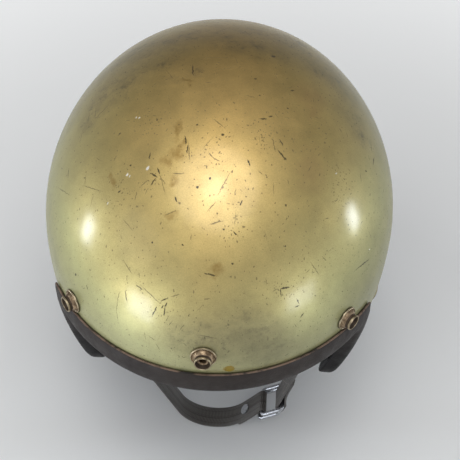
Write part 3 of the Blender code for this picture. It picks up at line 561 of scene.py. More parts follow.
def shaken(paint, flat, amount, scale):
    """The flat map with its places shifted a little by noise, for ragged edges."""
    shift = paint.vector_calc("SUBTRACT", paint.noise(scale, 3, output="Color"), (0.5, 0.5, 0.5))
    shift = paint.vector_calc("MULTIPLY", shift, (amount, amount, 0))
    return paint.vector_calc("ADD", flat, shift)


def nearest(paint, flat, ovals):
    """Distance to the nearest of some ovals, 1 on their edges.

    Every few ovals the map waits for the result so far, by a sum too small to see, because
    the renderer otherwise works them all out at once and runs out of room.
    """
    least = None
    for number, (x, y, turn, half_length, half_width) in enumerate(ovals):
        if number % SOCKET_LIMIT == SOCKET_LIMIT - 1:
            flat = paint.vector_calc("ADD", flat, paint.times(least, UNSEEN))
        away = paint.oval(flat, (x / 1000, y / 1000, 0),
                          (half_length / 1000, half_width / 1000, 1), turn)
        least = away if least is None else paint.calc("MINIMUM", least, away)
    return least


def strokes(lines, half_width):
    for x1, y1, x2, y2 in lines:
        yield ((x1 + x2) / 2, (y1 + y2) / 2, atan2(y2 - y1, x2 - x1),
               hypot(x2 - x1, y2 - y1) / 2 + half_width, half_width)


def soft_patches(paint, flat, ovals, low, high, strength=1.0):
    """Full strength inside some ovals, fading out round them."""
    ovals = ((x, y, 0, half_length, half_width) for x, y, half_length, half_width in ovals)
    return paint.level(nearest(paint, flat, ovals), low, high, strength, 0.0)


def sprinkle(paint, flat, spacing, half_length, half_width, share, where, shift):
    """Distance to small marks strewn at random, 1 on their edges."""
    moved = paint.vector_calc("ADD", flat, (shift, shift * 0.7, 0))
    cells = paint.node("TexVoronoi", {"Vector": moved, "Scale": 1 / spacing},
                       voronoi_dimensions="2D").outputs
    chance = paint.node("SeparateColor", {0: cells["Color"]}).outputs
    turned_flat = paint.node("VectorRotate", {
        "Vector": moved, "Center": cells["Position"],
        "Angle": paint.times(chance["Red"], 2 * pi)}, rotation_type="Z_AXIS")
    local = paint.vector_calc("SUBTRACT", turned_flat.outputs["Vector"], cells["Position"])
    away = paint.length(paint.vector_calc("DIVIDE", local, (half_length, half_width, 1)))
    away = paint.calc("DIVIDE", away, paint.calc("MULTIPLY_ADD", chance["Blue"], 0.9, 0.45))
    missing = paint.calc("GREATER_THAN", chance["Green"], paint.times(where, share))
    return paint.calc("MULTIPLY_ADD", missing, NEVER, away)


def worn_gold_paint():
    """Metal-flake paint, warmer on the crown and greener lower down, with its knocks and dirt, and
    painted shade on its sides, back and lower front.
    """
    paint = Finish("worn_gold_paint", Coat_Weight=0.56, Coat_Roughness=0.19,
                   Specular_Tint=(0.82, 0.80, 0.56, 1))
    flat, slope = rolled_out(paint)
    calc, times, mix = paint.calc, paint.times, paint.mix
    level, noise = paint.level, paint.noise
    aside = calc("ABSOLUTE", slope["X"])
    warm = calc("MULTIPLY_ADD", slope["Z"], 0.9, calc("MULTIPLY_ADD", aside, -0.475, 0.1))
    blotch = calc("SUBTRACT", noise(16, 4, 0.6), 0.5)
    warm = calc("MULTIPLY_ADD", blotch, 0.35, warm, clamp=True)
    base = mix(warm, (0.435, 0.412, 0.185), (0.650, 0.445, 0.160))
    base = mix(level(slope["Z"], 0.02, 0.32, 0.8, 0.0), base, (0.40, 0.395, 0.215))
    # Random mottling, times painted shade: darker towards the +X side, at the far -X edge and
    # towards the back.
    tone = times(level(noise(70, 5, 0.65), 0.25, 0.75, 0.86, 1.1),
                 level(noise(1500, 2, 0.7), 0.3, 0.7, 0.89, 1.1),
                 level(slope["X"], 0.45, 0.85, 1.0, 0.62),
                 level(slope["X"], -0.95, -0.5, 0.68, 1.0),
                 level(slope["Y"], -0.12, 0.22, 1.0, 0.62))
    tone = paint.node("CombineXYZ", {0: tone, 1: tone, 2: tone}).outputs[0]
    base = mix(1.0, base, tone, "MULTIPLY")

    ragged = shaken(paint, flat, 0.0015, 620)
    cloudy = shaken(paint, flat, 0.016, 120)
    drift = shaken(paint, flat, 0.05, 26)
    # Dirt, with painted shade in the clouds low on the front, darker still in smudges.
    grime_and_shade = times(soft_patches(paint, drift, GRIME_AND_SHADE_CLOUDS, 0.2, 1.5),
                  level(noise(95, 5, 0.7), 0.35, 0.65, 0.25, 1))
    base = mix(times(grime_and_shade, 0.38), base, (0.10, 0.085, 0.055))
    smudge_and_shade = times(level(noise(135, 5, 0.75), 0.50, 0.63), grime_and_shade, 0.62)
    base = mix(smudge_and_shade, base, (0.085, 0.072, 0.050))
    # Painted shade over the lower front.
    brow_shade = soft_patches(paint, flat, BROW_SHADE, 0.1, 1.3, 0.45)
    base = mix(brow_shade, base, (0.13, 0.105, 0.06))
    red = soft_patches(paint, cloudy, RUBBED_RED, 0.3, 1.6, 0.22)
    base = mix(red, base, (0.36, 0.19, 0.10))
    stain = times(soft_patches(paint, cloudy, VARNISH_STAINS, 0.35, 1.15),
                  level(noise(260, 4, 0.7), 0.35, 0.6, 0.3, 1), 0.75)
    base = mix(stain, base, (0.30, 0.18, 0.045))
    drip = paint.oval(paint.object_place, *YELLOW_DRIP)
    drip = calc("MULTIPLY_ADD", noise(500, 2), 0.7, drip)
    drip = level(drip, 1.1, 1.35, 1.0, 0.0)
    base = mix(drip, base, (0.22, 0.145, 0.004))

    patchy = level(noise(22, 3, 0.6), 0.38, 0.62, 0.35, 1.0)
    fray = calc("MULTIPLY_ADD", noise(1300, 3, 0.7), 1.5, -0.75)
    deep = nearest(paint, ragged, strokes(DEEP_SCRATCHES, DEEP_HALF))
    pits = ((x, y, 0, r * 0.64, r * 0.5) for x, y, r in PITS)
    deep = calc("MINIMUM", deep, nearest(paint, ragged, pits))
    fine = nearest(paint, ragged, strokes(FINE_SCRATCHES, FINE_HALF))
    crowded = soft_patches(paint, drift, SPECK_CLUSTERS, 0.5, 1.3)
    for mark in ((0.0045, 0.00042, 0.00034, 0.75, patchy, 0.4),
                 (0.010, 0.0008, 0.00045, 0.40, patchy, 0.431),
                 (0.012, 0.0016, 0.00022, 0.30, patchy, 0.462),
                 (0.024, 0.0045, 0.00019, 0.40, patchy, 0.493),
                 (0.0021, 0.00056, 0.00032, 0.62, crowded, 0.83)):
        fine = calc("MINIMUM", fine, sprinkle(paint, ragged, *mark))
    knock = calc("MAXIMUM", level(calc("ADD", deep, fray), 0.75, 1.15, 0.92, 0.0),
                 level(calc("ADD", fine, fray), 0.6, 1.2, 0.58, 0.0))
    base = mix(knock, base, (0.036, 0.024, 0.010))
    chip = nearest(paint, ragged, ((x, y, 0.6, r, r * 0.6) for x, y, r in PALE_CHIPS))
    chip = level(calc("ADD", chip, fray), 0.55, 1.15, 0.8, 0.0)
    paint.set(Base_Color=mix(chip, base, (0.72, 0.72, 0.68)))
    dull = calc("MAXIMUM", knock, calc("MAXIMUM", chip, drip))
    paint.set(Metallic=level(dull, 0.0, 1.0, 0.85, 0.0))
    rough = level(noise(60, 4, 0.6), 0.3, 0.7, 0.49, 0.57)
    rough = calc("MULTIPLY_ADD", grime_and_shade, 0.10, rough)
    paint.set(Roughness=calc("MULTIPLY_ADD", dull, 0.3, rough, clamp=True))
    paint.raise_by(paint.noise(240, 3, 0.6), 0.06, 0.001)
    return paint


def raw_laminate():
    """The bare fibreglass of the shell's inner wall and cut edges."""
    bare = Finish("raw_laminate", Roughness=0.6)
    place = bare.split(bare.object_place)
    threads = 1600.0
    over, under = (bare.calc("SINE", bare.times(place[way], threads)) for way in "YZ")
    weave = bare.calc("MULTIPLY_ADD", bare.times(over, under), 0.5, 0.5)
    tone = bare.mix(bare.noise(45, 4, 0.6), (0.060, 0.048, 0.030), (0.130, 0.105, 0.065))
    bare.set(Base_Color=bare.mix(weave, tone, (0.095, 0.080, 0.052)))
    bare.raise_by(bare.calc("MULTIPLY_ADD", bare.noise(400, 3), 0.8, weave), 0.4, 0.0004)
    return bare


def dark_leather():
    """Darker towards the rim's low edge, a painted shade on the band's cheek and jaw parts."""
    leather = Finish("dark_leather", Specular_IOR_Level=0.22)
    tone = leather.mix(leather.noise(40, 4, 0.6), (0.013, 0.010, 0.009), (0.038, 0.030, 0.026))
    # Painted shade on the low parts of the band, fading out above.
    above_painted_shade = leather.level(leather.split(leather.object_place)["Z"], -0.150, -0.112)
    leather.set(Base_Color=leather.mix(above_painted_shade, (0.006, 0.005, 0.005), tone),
                Roughness=leather.level(leather.noise(120, 3, 0.6), 0.3, 0.7, 0.45, 0.7))
    leather.raise_by(leather.cells(900), 0.35, 0.0003)
    return leather


def cut_leather():
    """The band's pale cut edge, dark in patches and at one spot over the brow."""
    leather = Finish("cut_leather_edge", Roughness=0.85)
    bare = leather.level(leather.noise(130, 5, 0.75), 0.34, 0.52)
    across = leather.split(leather.object_place)["X"]
    # A dark spot on the cut edge over the brow.
    dark_spot = leather.calc("ABSOLUTE", leather.calc("ADD", across, 0.0105))
    dark_spot = leather.calc("MULTIPLY_ADD", leather.noise(400), 0.003, dark_spot)
    bare = leather.times(bare, leather.level(dark_spot, 0.0055, 0.0075))
    leather.set(Base_Color=leather.mix(bare, (0.012, 0.009, 0.008), (0.155, 0.103, 0.074)))
    leather.raise_by(leather.noise(900, 3), 0.6, 0.0004)
    return leather


def bead_foam():
    foam = Finish("bead_foam", Roughness=0.9)
    beads = foam.cells(320)
    foam.set(Base_Color=foam.mix(foam.level(beads, 0.1, 0.7), (0.05, 0.048, 0.045),
                                 (0.025, 0.024, 0.022)))
    foam.raise_by(beads, 0.5, 0.0008)
    return foam


def grey_webbing():
    """A herringbone of warp threads, read from the web's own map in metres."""
    web = Finish("grey_webbing", Roughness=0.9, Sheen_Weight=0.25, Sheen_Roughness=0.4)
    flat = web.split(web.node("UVMap", uv_map="UVMap").outputs["UV"])
    column, lean, pitch = 0.00165, 0.0022, 0.0013
    slant = web.calc("PINGPONG", flat["Y"], column)
    turns = web.calc("MULTIPLY_ADD", slant, 2 * pi / lean, web.times(flat["X"], 2 * pi / pitch))
    thread = web.calc("MULTIPLY_ADD", web.calc("SINE", turns), 0.5, 0.5)
    furrow = web.level(web.calc("ABSOLUTE", web.calc("SUBTRACT", slant, column / 2)),
                       column * 0.34, column * 0.5, 1.0, 0.0)
    height = web.calc("MULTIPLY_ADD", web.noise(1800, 3, 0.7), 0.35, web.times(thread, furrow))
    tone = web.mix(web.noise(60, 3), (0.135, 0.125, 0.114), (0.205, 0.190, 0.172))
    shade = web.mix(1.0, tone, (0.35, 0.34, 0.33), "MULTIPLY")
    web.set(Base_Color=web.mix(web.level(height, 0.1, 1.0), shade, tone))
    web.raise_by(height, 0.7, 0.0004)
    return web


def mottled(name, cloud, dark, pale, grain=None, edges=None, dulled=None, **settings):
    """Two tones parted by noise, with a raised grain and a roughness that varies if given."""
    finish = Finish(name, **settings)
    share = finish.noise(*cloud)
    if edges:
        share = finish.level(share, *edges)
    finish.set(Base_Color=finish.mix(share, dark, pale))
    if dulled:
        cloud, rough, smooth = dulled
        finish.set(Roughness=finish.level(finish.noise(*cloud), 0.3, 0.7, rough, smooth))
    if grain:
        cloud, strength, depth = grain
        finish.raise_by(finish.noise(*cloud), strength, depth)
    return finish


def aged_brass(name, tarnished, clean):
    wear = (350, 5, 0.65)
    return mottled(name, wear, tarnished, clean, ((800, 3), 0.15, 0.0002), (0.35, 0.65),
                   (wear, 0.58, 0.36), Metallic=0.85)


GOLD, LAMINATE = worn_gold_paint(), raw_laminate()
LEATHER, CUT_EDGE = dark_leather(), cut_leather()
PIPING = mottled("piping_cloth", (200, 3), (0.018, 0.016, 0.015), (0.034, 0.031, 0.029),
                 ((2400, 2), 0.5, 0.0002), Roughness=0.7, Sheen_Weight=0.3)
THREAD = mottled("waxed_thread", (900, 3), (0.20, 0.185, 0.16), (0.34, 0.32, 0.28),
                 ((3500, 2), 0.6, 0.0002), Roughness=0.6, Sheen_Weight=0.2)
FOAM = bead_foam()
CLOTH = mottled("lining_cloth", (30, 3), (0.055, 0.050, 0.045), (0.100, 0.092, 0.083),
                ((1400, 2, 0.6), 0.6, 0.0004), Roughness=0.95, Sheen_Weight=0.3,
                Sheen_Roughness=0.5)
BRASS = aged_brass("aged_brass", (0.12, 0.078, 0.045), (0.40, 0.295, 0.185))
OLIVE_BRASS = aged_brass("olive_brass", (0.105, 0.085, 0.042), (0.30, 0.255, 0.130))
RUBBED = mottled("rubbed_brass", (300, 4, 0.6), (0.20, 0.155, 0.095), (0.40, 0.33, 0.22),
                 ((900, 3), 0.15, 0.0002), (0.3, 0.6), Metallic=0.8, Roughness=0.46)
# Dark patina, which on the studs also paints the shade in their cups and under their lips.
PATINA_AND_SHADE = mottled("dark_patina_and_shade", (500, 4, 0.7), (0.020, 0.014, 0.009), (0.085, 0.055, 0.033),
                 ((1100, 3), 0.2, 0.0002), Metallic=0.4, Roughness=0.6)
STEEL = mottled("dull_steel", (260, 4, 0.6), (0.30, 0.31, 0.33), (0.55, 0.56, 0.58),
                dulled=((500, 4), 0.22, 0.42), Metallic=1.0)
WEBBING = grey_webbing()


# Shell and band

def rim_cutter():
    """All that lies in front of and below the rim, as a prism across the helmet."""
    outline = rim_outline()
    low = RIM_EAR[1] - 0.06
    outline += [Vector((outline[-1].x, low)), Vector((outline[0].x, low))]
    count, reach = len(outline), 0.16
    cutter = start_piece("rim_cutter", bpy.ops.mesh.primitive_circle_add, vertices=count,
                         radius=1, fill_type="NGON")
    move_each(lambda co: Vector((-reach, *outline[station(co, count)])) + WIDEST)
    pick_all()
    bpy.ops.mesh.extrude_region_move(TRANSFORM_OT_translate={"value": (2 * reach, 0, 0)})
    face_outwards()
    return end_piece(cutter)


def make_shell():
    """A sphere stretched to the crown, drawn in below its widest level and cut at the rim."""
    rings, depth = 72, 0.140
    shell = start_piece("helmet_shell", bpy.ops.mesh.primitive_uv_sphere_add, segments=144,
                        ring_count=rings, radius=1)
    pick_all()
    bpy.ops.transform.resize(value=(SHELL_HALF_WIDTH, SHELL_HALF_LENGTH, CROWN_HEIGHT))
    pick(lambda co: co.z < -SAME_LEVEL)
    bpy.ops.transform.resize(value=(1, 1, depth / CROWN_HEIGHT), center_override=(0, 0, 0))
    for ring in range(1, rings // 2):
        level = -depth * sin(pi * ring / rings)
        share = cos(pi * ring / rings)
        across, along = half_axes(level)
        pick(lambda co: abs(co.z - level) < SAME_LEVEL)
        bpy.ops.transform.resize(value=(across / (SHELL_HALF_WIDTH * share),
                                        along / (SHELL_HALF_LENGTH * share), 1),
                                 center_override=(0, 0, level))
    pick_all()
    bpy.ops.transform.translate(value=WIDEST)
    end_piece(shell)
    modify(shell, "SOLIDIFY", thickness=SHELL_WALL, offset=-1, use_even_offset=True)
    holes = [drill(STEM_HOLE, 0.03, matrix) for name, matrix in stud_places()]
    holes += [drill(STEM_HOLE, 0.02, matrix) for name, matrix in strap_rivet_places()]
    subtract(shell, rim_cutter(), *holes)
    end_piece(shell)
    give(shell, GOLD, LAMINATE)
    for face in shell.data.polygons:
        if below_skin(face.center - WIDEST)[0] > PAINT_EDGE:
            face.material_index = 1
    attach(shell, "helmet")
    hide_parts("outer_shell")


# Height up the shell and distance out from it, in millimetres, round the band
BAND_SECTION = (
    (14.2, 0.45), (14.5, 0.8), (14.55, 1.4), (14.3, 2.0), (13.6, 2.4), (12.2, 2.8), (9.0, 3.35),
    (5.0, 3.5), (1.0, 3.45), (-1.2, 3.2), (-2.4, 2.4), (-2.95, 1.2), (-3.0, -1.0),
    (-2.95, -3.4), (-2.5, -4.7), (-1.6, -5.4), (0.5, -5.5), (4.8, -5.5), (5.8, -5.2),
    (6.0, -4.6), (5.7, -4.1), (4.5, -4.0), (-0.5, -4.0), (-0.5, 0.5), (7.0, 0.5),
)
BAND_CUT_POINTS, BAND_FRONT_POINTS, BAND_OUTER_POINTS = 4, 10, 14
BAND_LIP = 0.004
BAND_TOP = 0.0145
BAND_MITRE = 0.68
BROW_DROOP, BROW_HALF = 0.0019, 0.085
CORNER_REGION = -0.05


def make_band():
    """A ring swept round the rim, its section set on the shell at each station."""
    half = 220
    around, sides = 2 * half, len(BAND_SECTION)
    stations = rim_stations(half)
    bases = [skin_over(p.x, p.y) for p in stations]
    bases[0].x = bases[-1].x = 0
    into_corner, out_of_corner = (
        atan2(b[1] - a[1], b[0] - a[0])
        for a, b in ((RIM_FRONT, RIM_TEMPLE), (RIM_TEMPLE, RIM_JAW)))
    loops = []
    for k, point in enumerate(bases):
        run = stations[min(k + 1, half)] - stations[max(k - 1, 0)]
        inward = Vector((0, -run.y, run.x)).normalized()
        normal = skin_normal(point)
        climb = (inward - inward.dot(normal) * normal).normalized()
        slant = -inward.dot(normal) / inward.dot(climb)
        bend = 0
        if point.z > CORNER_REGION:
            off = abs(atan2(run.y, run.x) - (into_corner + out_of_corner) / 2)
            bend = max(0, (into_corner - out_of_corner) / 2 - off)
        droop = BROW_DROOP * max(0, 1 - (point.x / BROW_HALF) ** 2)
        loop = []
        for j, (up, out) in enumerate(BAND_SECTION):
            up, out = up / 1000, out / 1000
            lip = max(0, min(1, (BAND_LIP - up) / BAND_LIP))
            if j < BAND_FRONT_POINTS:
                mitre = (TEMPLE_RADIUS + up) * (1 / cos(bend) - 1)
                up += BAND_MITRE * mitre * max(0, up / BAND_TOP)
            if j < BAND_OUTER_POINTS and point.y < CORNER_REGION:
                up -= droop
            base = onto_skin(point + (up + slant * out * lip) * climb)
            loop.append(base + out * skin_normal(base) + WIDEST)
        loops.append(loop)
    band = start_torus("rim_band", around, sides)

    def place(co):
        k = station(co, around)
        spot = loops[min(k, around - k)][station(Vector((hypot(co.x, co.y) - 1, co.z)), sides)]
        return spot if k <= half else Vector((-spot.x, spot.y, spot.z))
    move_each(place)
    face_outwards()
    end_piece(band, 50)
    give(band, LEATHER, CUT_EDGE)
    for face in band.data.polygons:
        if max(v % sides for v in face.vertices) < BAND_CUT_POINTS:
            face.material_index = 1
    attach(band, "helmet")
    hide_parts("edge_band")


# Studs and rivets, turned from profiles of radius and height in millimetres

def turned(name, profile, matrix, *finishes):
    """A ring drawn out along a profile, closed on itself or at its ends."""
    profile = [(max(radius / 1000, POLE), height / 1000) for radius, height in profile]
    piece = start_piece(name, bpy.ops.mesh.primitive_circle_add, vertices=64,
                        radius=profile[0][0], location=(0, 0, profile[0][1]),
                        fill_type="NOTHING")
    pick_all()
    for (last, low), (radius, height) in zip(profile, profile[1:]):
        bpy.ops.mesh.extrude_region_move(TRANSFORM_OT_translate={"value": (0, 0, height - low)})
        bpy.ops.transform.resize(value=(radius / last, radius / last, 1))
    face_outwards()
    bpy.ops.object.mode_set(mode="OBJECT")
    piece.matrix_world = matrix @ piece.matrix_world
    end_piece(piece, 40)
    give(piece, *finishes)
    return piece


STUD_PROFILE = (
    (4.8, 6.4), (5.2, 6.3), (5.4, 6), (5.4, 5.2), (5.1, 4.5), (5, 3.8), (5.3, 3.2), (5.9, 2.7),
    (6.4, 2), (6.7, 1.2), (6.9, 0.5), (7.3, 0.5), (7.5, 1), (7.8, 1.2), (8.2, 0.9), (8.3, 0.3),
    (2.8, 0.3), (2.8, 3.2), (3.9, 3.4), (4.3, 4), (4.5, 5.6), (4.6, 6.1), (4.8, 6.4),
)
STUD_RIVET_PROFILE = (
    (3.4, 3.8), (3.4, 3.5), (2.5, 3.4), (2.5, -5.6), (2.1, -5.6), (2.1, 2.8), (2.3, 3.5),
    (2.7, 3.9), (3.1, 4), (3.4, 3.8),
)
STRAP_RIVET_PROFILE = (
    *((7 * sin(pi / 20 * k), 0.6 + 2.3 * cos(pi / 20 * k)) for k in range(11)),
    (6.9, 0.3), (2.5, 0.3), (2.5, -15.5), (4.1, -15.6), (4.2, -16), (3.6, -16.6), (1.5, -16.5),
    (0, -15.9),
)
EYELET_FLANGE = (
    (3.4, 1.3), (4, 1.7), (5, 1.6), (5.7, 1.2), (5.8, 1.1), (4.1, 1.1),
)
CAP_PROFILE = (
    (0, 4.72), (1.2, 4.66), (2.4, 4.47), (3.1, 4.2), (3.4, 4.05), (3.8, 4.1), (4.3, 4.05),
    (4.8, 3.7), (5, 3.25), (4.9, 3), (3.1, 3), (3.1, 1.1), (2.3, 1.1), (2.3, 3.8), (0, 3.8),
)
STUD_FLANGE, STUD_NECK, STUD_CUP = 7.3, 5.3, 4.6
STUD_TOP, STUD_LIP, STUD_LIP_FOOT, STUD_GROOVE = 6.1, 5.2, 4.9, 3.3


def stud_face_finish(spot):
    """Rubbed on the flange and lip; dark patina in the cup and round the neck, standing also for
    painted shade there.
    """
    reach, height = hypot(spot.x, spot.y) * 1000, spot.z * 1000
    if reach > STUD_FLANGE or height > STUD_TOP or (reach > STUD_NECK and height > STUD_LIP):
        return 1
    # Patina and painted shade in the cup and in the groove under the lip.
    if height > STUD_GROOVE and (reach < STUD_CUP or height < STUD_LIP_FOOT):
        return 2
    return 0


def make_studs():
    for name, matrix in stud_places():
        stud = turned("stud_" + name, STUD_PROFILE, matrix, BRASS, RUBBED, PATINA_AND_SHADE)
        upright_stud = matrix.inverted()
        for face in stud.data.polygons:
            face.material_index = stud_face_finish(upright_stud @ face.center)
        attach(stud, "helmet")
        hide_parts("snap_stud_" + name)
        rivet = turned("stud_rivet_" + name, STUD_RIVET_PROFILE, matrix, BRASS)
        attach(rivet, "helmet")
        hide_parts("snap_rivet_" + name)


def make_strap_rivets():
    for name, matrix in strap_rivet_places():
        rivet = turned("strap_rivet_head_" + name, STRAP_RIVET_PROFILE, matrix, OLIVE_BRASS)
        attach(rivet, "helmet")
        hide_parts("strap_rivet_" + name)


# Chin strap, its paths in the plane through both rivets, from the widest level

LONG_PATH = (
    (-104.6, -38.3), (-104.6, -53.7), (-104.4, -57.0), (-103.6, -60.2), (-102.2, -63.2),
    (-76.2, -111.5), (-75.7, -112.5), (-29.1, -211.5), (-27.0, -215.3), (-24.4, -218.8),
    (-21.3, -221.9), (-17.8, -224.6), (-14.0, -226.8), (-10.0, -228.4), (-5.8, -229.5),
    (-1.4, -229.9), (3.0, -229.8), (7.3, -229.1), (11.5, -227.9), (15.4, -226.0), (19.1, -223.7),
    (22.5, -220.9), (25.4, -217.6), (38.3, -201.1), (39.5, -200.2), (40.9, -200.0),
    (42.2, -200.6), (43.1, -201.7), (43.3, -203.2), (42.7, -204.5), (41.6, -205.4),
    (40.1, -205.6),
)
TAIL_PATH = (
    (40.1, -205.6), (38.8, -205.0), (37.9, -204.9), (37.5, -205.1), (34.1, -209.5),
    (26.9, -218.8), (24.6, -221.3), (22.2, -223.7), (19.5, -225.8),
)
SHORT_PATH = (
    (104.6, -38.3), (104.6, -53.7), (104.4, -57.0), (103.6, -60.2), (102.2, -63.2),
    (77.0, -110.0), (76.4, -111.4), (75.8, -112.7), (52.0, -197.5), (52.0, -199.0),
    (52.6, -200.2), (53.8, -201.0), (55.2, -201.0), (56.5, -200.4), (57.3, -199.2),
    (59.3, -193.6), (59.4, -192.9), (58.6, -180.8), (64.6, -159.6),
)
STITCH_OUTER = ((64.6, -159.6), (58.6, -180.8))
STITCH_INNER = ((62.7, -159.6), (57.1, -179.4))
STITCH = (0.00115, 0.00030, 0.00022)
STITCH_LIFT = 0.0007
STITCH_PITCH = 0.0028
STRAP_Y = -0.0296
WEB_HALF = 0.0095
WEB_STEP = 0.0009
WEB_CORNER = 0.003
BUTTON = (0.0271, -0.2154)
CURL_LEVEL = -0.1978
EYELET_HOLE, POST_HOLE, CAP_HOLE = 0.0044, 0.0018, 0.0034
TAIL_OVER_WEB = 0.0019
STRAP_PIVOT = (0.1046, -0.0478)
RINGS = (("outer", (0.0405, -0.2028), (0.0566, -0.1927)),
         ("inner", (0.0386, -0.2084), (0.0547, -0.1983)))
RING_WIRE = 0.0017
RING_CORNER = 0.0025


def in_strap_plane(flat, across=0):
    return Vector((flat[0], STRAP_Y + across, flat[1])) + WIDEST


def even_path(path):
    """A path in millimetres, its corners cut twice, as evenly spaced points in metres."""
    points = [Vector(p) / 1000 for p in path]
    for _ in range(2):
        cut = [points[0]]
        for a, b in zip(points, points[1:]):
            cut += [a.lerp(b, 0.25), a.lerp(b, 0.75)]
        points = cut + [points[-1]]
    return spread(points, round(length_of(points) / WEB_STEP)) + [points[-1]], length_of(points)


def web_section():
    """Round the web's section, with a bead along each selvedge."""
    quarter = [(0.0, 0.66), (5.0, 0.66), (7.6, 0.68), (8.2, 0.78), (8.8, 0.79), (9.2, 0.66),
               (9.45, 0.36), (9.5, 0.0)]
    half = quarter + [(a, -t) for a, t in reversed(quarter[:-1])]
    return [Vector(p) / 1000 for p in half + [(-a, t) for a, t in reversed(half[:-1])]]


def webbing(name, path, node, clip_start, clip_end):
    """A strip of web swept along a path in the strap's plane, mapped in metres."""
    points, length = even_path(path)
    section = web_section()
    count, sides = len(points) - 1, len(section) - 1
    piece = start_piece(name, bpy.ops.mesh.primitive_grid_add, x_subdivisions=count,
                        y_subdivisions=sides, size=2, calc_uvs=True)

    def place(co):
        k, j = round((co.x + 1) / 2 * count), round((co.y + 1) / 2 * sides)
        run = points[min(k + 1, count)] - points[max(k - 1, 0)]
        across, thick = section[j]
        clip = (max(0, WEB_CORNER - k * WEB_STEP) * clip_start
                + max(0, WEB_CORNER - (count - k) * WEB_STEP) * clip_end)
        return in_strap_plane(points[k] + Vector((-run.y, run.x)).normalized() * thick,
                              across * (1 - clip * 0.9 / WEB_HALF))
    move_each(place)
    face_outwards()
    bpy.ops.mesh.fill_holes(sides=0)
    bpy.ops.mesh.normals_make_consistent(inside=False)
    end_piece(piece, 60)
    girth = length_of(section)
    for corner in piece.data.uv_layers["UVMap"].data:
        corner.uv = (corner.uv.x * length, corner.uv.y * girth)
    give(piece, WEBBING)
    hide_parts(node)
    return piece


def make_ring(side, bow, bar):
    """A wire ring, drawn out to a rounded oblong round both straps."""
    bow, bar = Vector(bow), Vector(bar)
    run, length = (bar - bow).normalized(), (bar - bow).length
    half, around = WEB_HALF + 0.0003, 112
    outline = []
    for turn, across, up in ((0, half, length - RING_CORNER), (1, -half, length - RING_CORNER),
                             (2, -half, RING_CORNER), (3, half, RING_CORNER)):
        for k in range(9):
            angle = pi / 2 * (turn + k / 8)
            outline.append(Vector((across, up)) + RING_CORNER * Vector((cos(angle), sin(angle))))
    even = spread(outline + outline[:1], around)
    frames = []
    for k, spot in enumerate(even):
        along = (even[(k + 1) % around] - even[k - 1]).normalized()
        frames.append((in_strap_plane(bow + run * spot.y, spot.x),
                       Vector((-run.x * along.x, along.y, -run.y * along.x)),
                       Vector((-run.y, 0, run.x))))
    ring = bent_wire("wire_ring_" + side, frames, RING_WIRE, 16)
    give(ring, STEEL)
    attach(ring, "chin_strap")
    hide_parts("strap_ring_" + side)


def sew_loop():
    """The box and cross of thread that shuts the short web's loop, on both its faces."""
    stitch = start_piece("loop_stitches", bpy.ops.mesh.primitive_uv_sphere_add, segments=8,
                         ring_count=5, radius=1)
    pick_all()
    bpy.ops.transform.resize(value=STITCH)
    end_piece(stitch, 80)
    low, high, side = 0.0205, 0.0065, 0.0068
    box = [Vector(p) for p in ((low, -side), (low, side), (high, side), (high, -side))]
    seams = list(zip(box, box[1:] + box[:1])) + [(box[0], box[2]), (box[1], box[3])]
    stitches = []
    for (top, bottom), lift in ((STITCH_OUTER, STITCH_LIFT), (STITCH_INNER, -STITCH_LIFT)):
        down = (Vector(bottom) - Vector(top)).normalized()
        out = Vector((-down.y, down.x)) if down.y < 0 else Vector((down.y, -down.x))
        outward = Vector((out.x, 0, out.y))
        for a, b in seams:
            way = b - a
            run = Vector((down.x * way.x, way.y, down.y * way.x)).normalized()
            turn = Matrix((run, outward.cross(run), outward)).transposed().to_4x4()
            count = round(way.length / STITCH_PITCH)
            for k in range(count):
                spot = a.lerp(b, (k + 0.5) / count)
                flat = Vector(top) / 1000 + down * spot.x + out * lift
                one = stitch.copy()
                one.data = stitch.data.copy()
                bpy.context.scene.collection.objects.link(one)
                one.matrix_world = Matrix.Translation(in_strap_plane(flat, spot.y)) @ turn
                stitches.append(one)
    bpy.data.objects.remove(stitch)
    choose(stitches[0])
    for one in stitches:
        one.select_set(True)
    bpy.ops.object.join()
    sewn = bpy.context.object
    sewn.name = sewn.data.name = "loop_stitches"
    end_piece(sewn, 80)
    give(sewn, THREAD)
    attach(sewn, "chin_strap")


def make_strap():
    long_web = webbing("webbing_long", LONG_PATH, "chin_strap_long", 1, 0)
    short_web = webbing("webbing_short", SHORT_PATH, "chin_strap_short", 1, 1)
    tail_web = webbing("webbing_tail", TAIL_PATH, "strap_tail", 0, 1)
    out = Vector((BUTTON[0], BUTTON[1] - CURL_LEVEL)).normalized()
    button = standing(in_strap_plane(BUTTON), Vector((out.x, 0, out.y)))
    pivots = [standing(in_strap_plane((side * STRAP_PIVOT[0], STRAP_PIVOT[1])), ACROSS)
              for name, side in SIDES]
    for pivot, web in zip(pivots, (short_web, long_web)):
        subtract(web, drill(EYELET_HOLE, 0.01, pivot))
        end_piece(web, 60)
        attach(web, "chin_strap")
    tail_level = button @ Matrix.Translation((0, 0, TAIL_OVER_WEB))
    for web, hole, level in ((long_web, POST_HOLE, button), (tail_web, CAP_HOLE, tail_level)):
        subtract(web, drill(hole, 0.0022, level))
        end_piece(web, 60)
    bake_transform(tail_web)
    for ring in RINGS:
        make_ring(*ring)
    flange = [(r, -h) for r, h in reversed(EYELET_FLANGE)]
    for (name, side), pivot in zip(SIDES, pivots):
        eyelet = turned("rolled_eyelet_" + name,
                        [*EYELET_FLANGE, *flange, EYELET_FLANGE[0]], pivot, BRASS)
        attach(eyelet, "chin_strap")
        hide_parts("strap_eyelet_" + name)
    sew_loop()
    cap = turned("press_button_cap", CAP_PROFILE, button, STEEL)
    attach(cap, "strap_tail")
    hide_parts("tail_button_cap")


# Comfort pads, each blown up as cloth from a smaller block

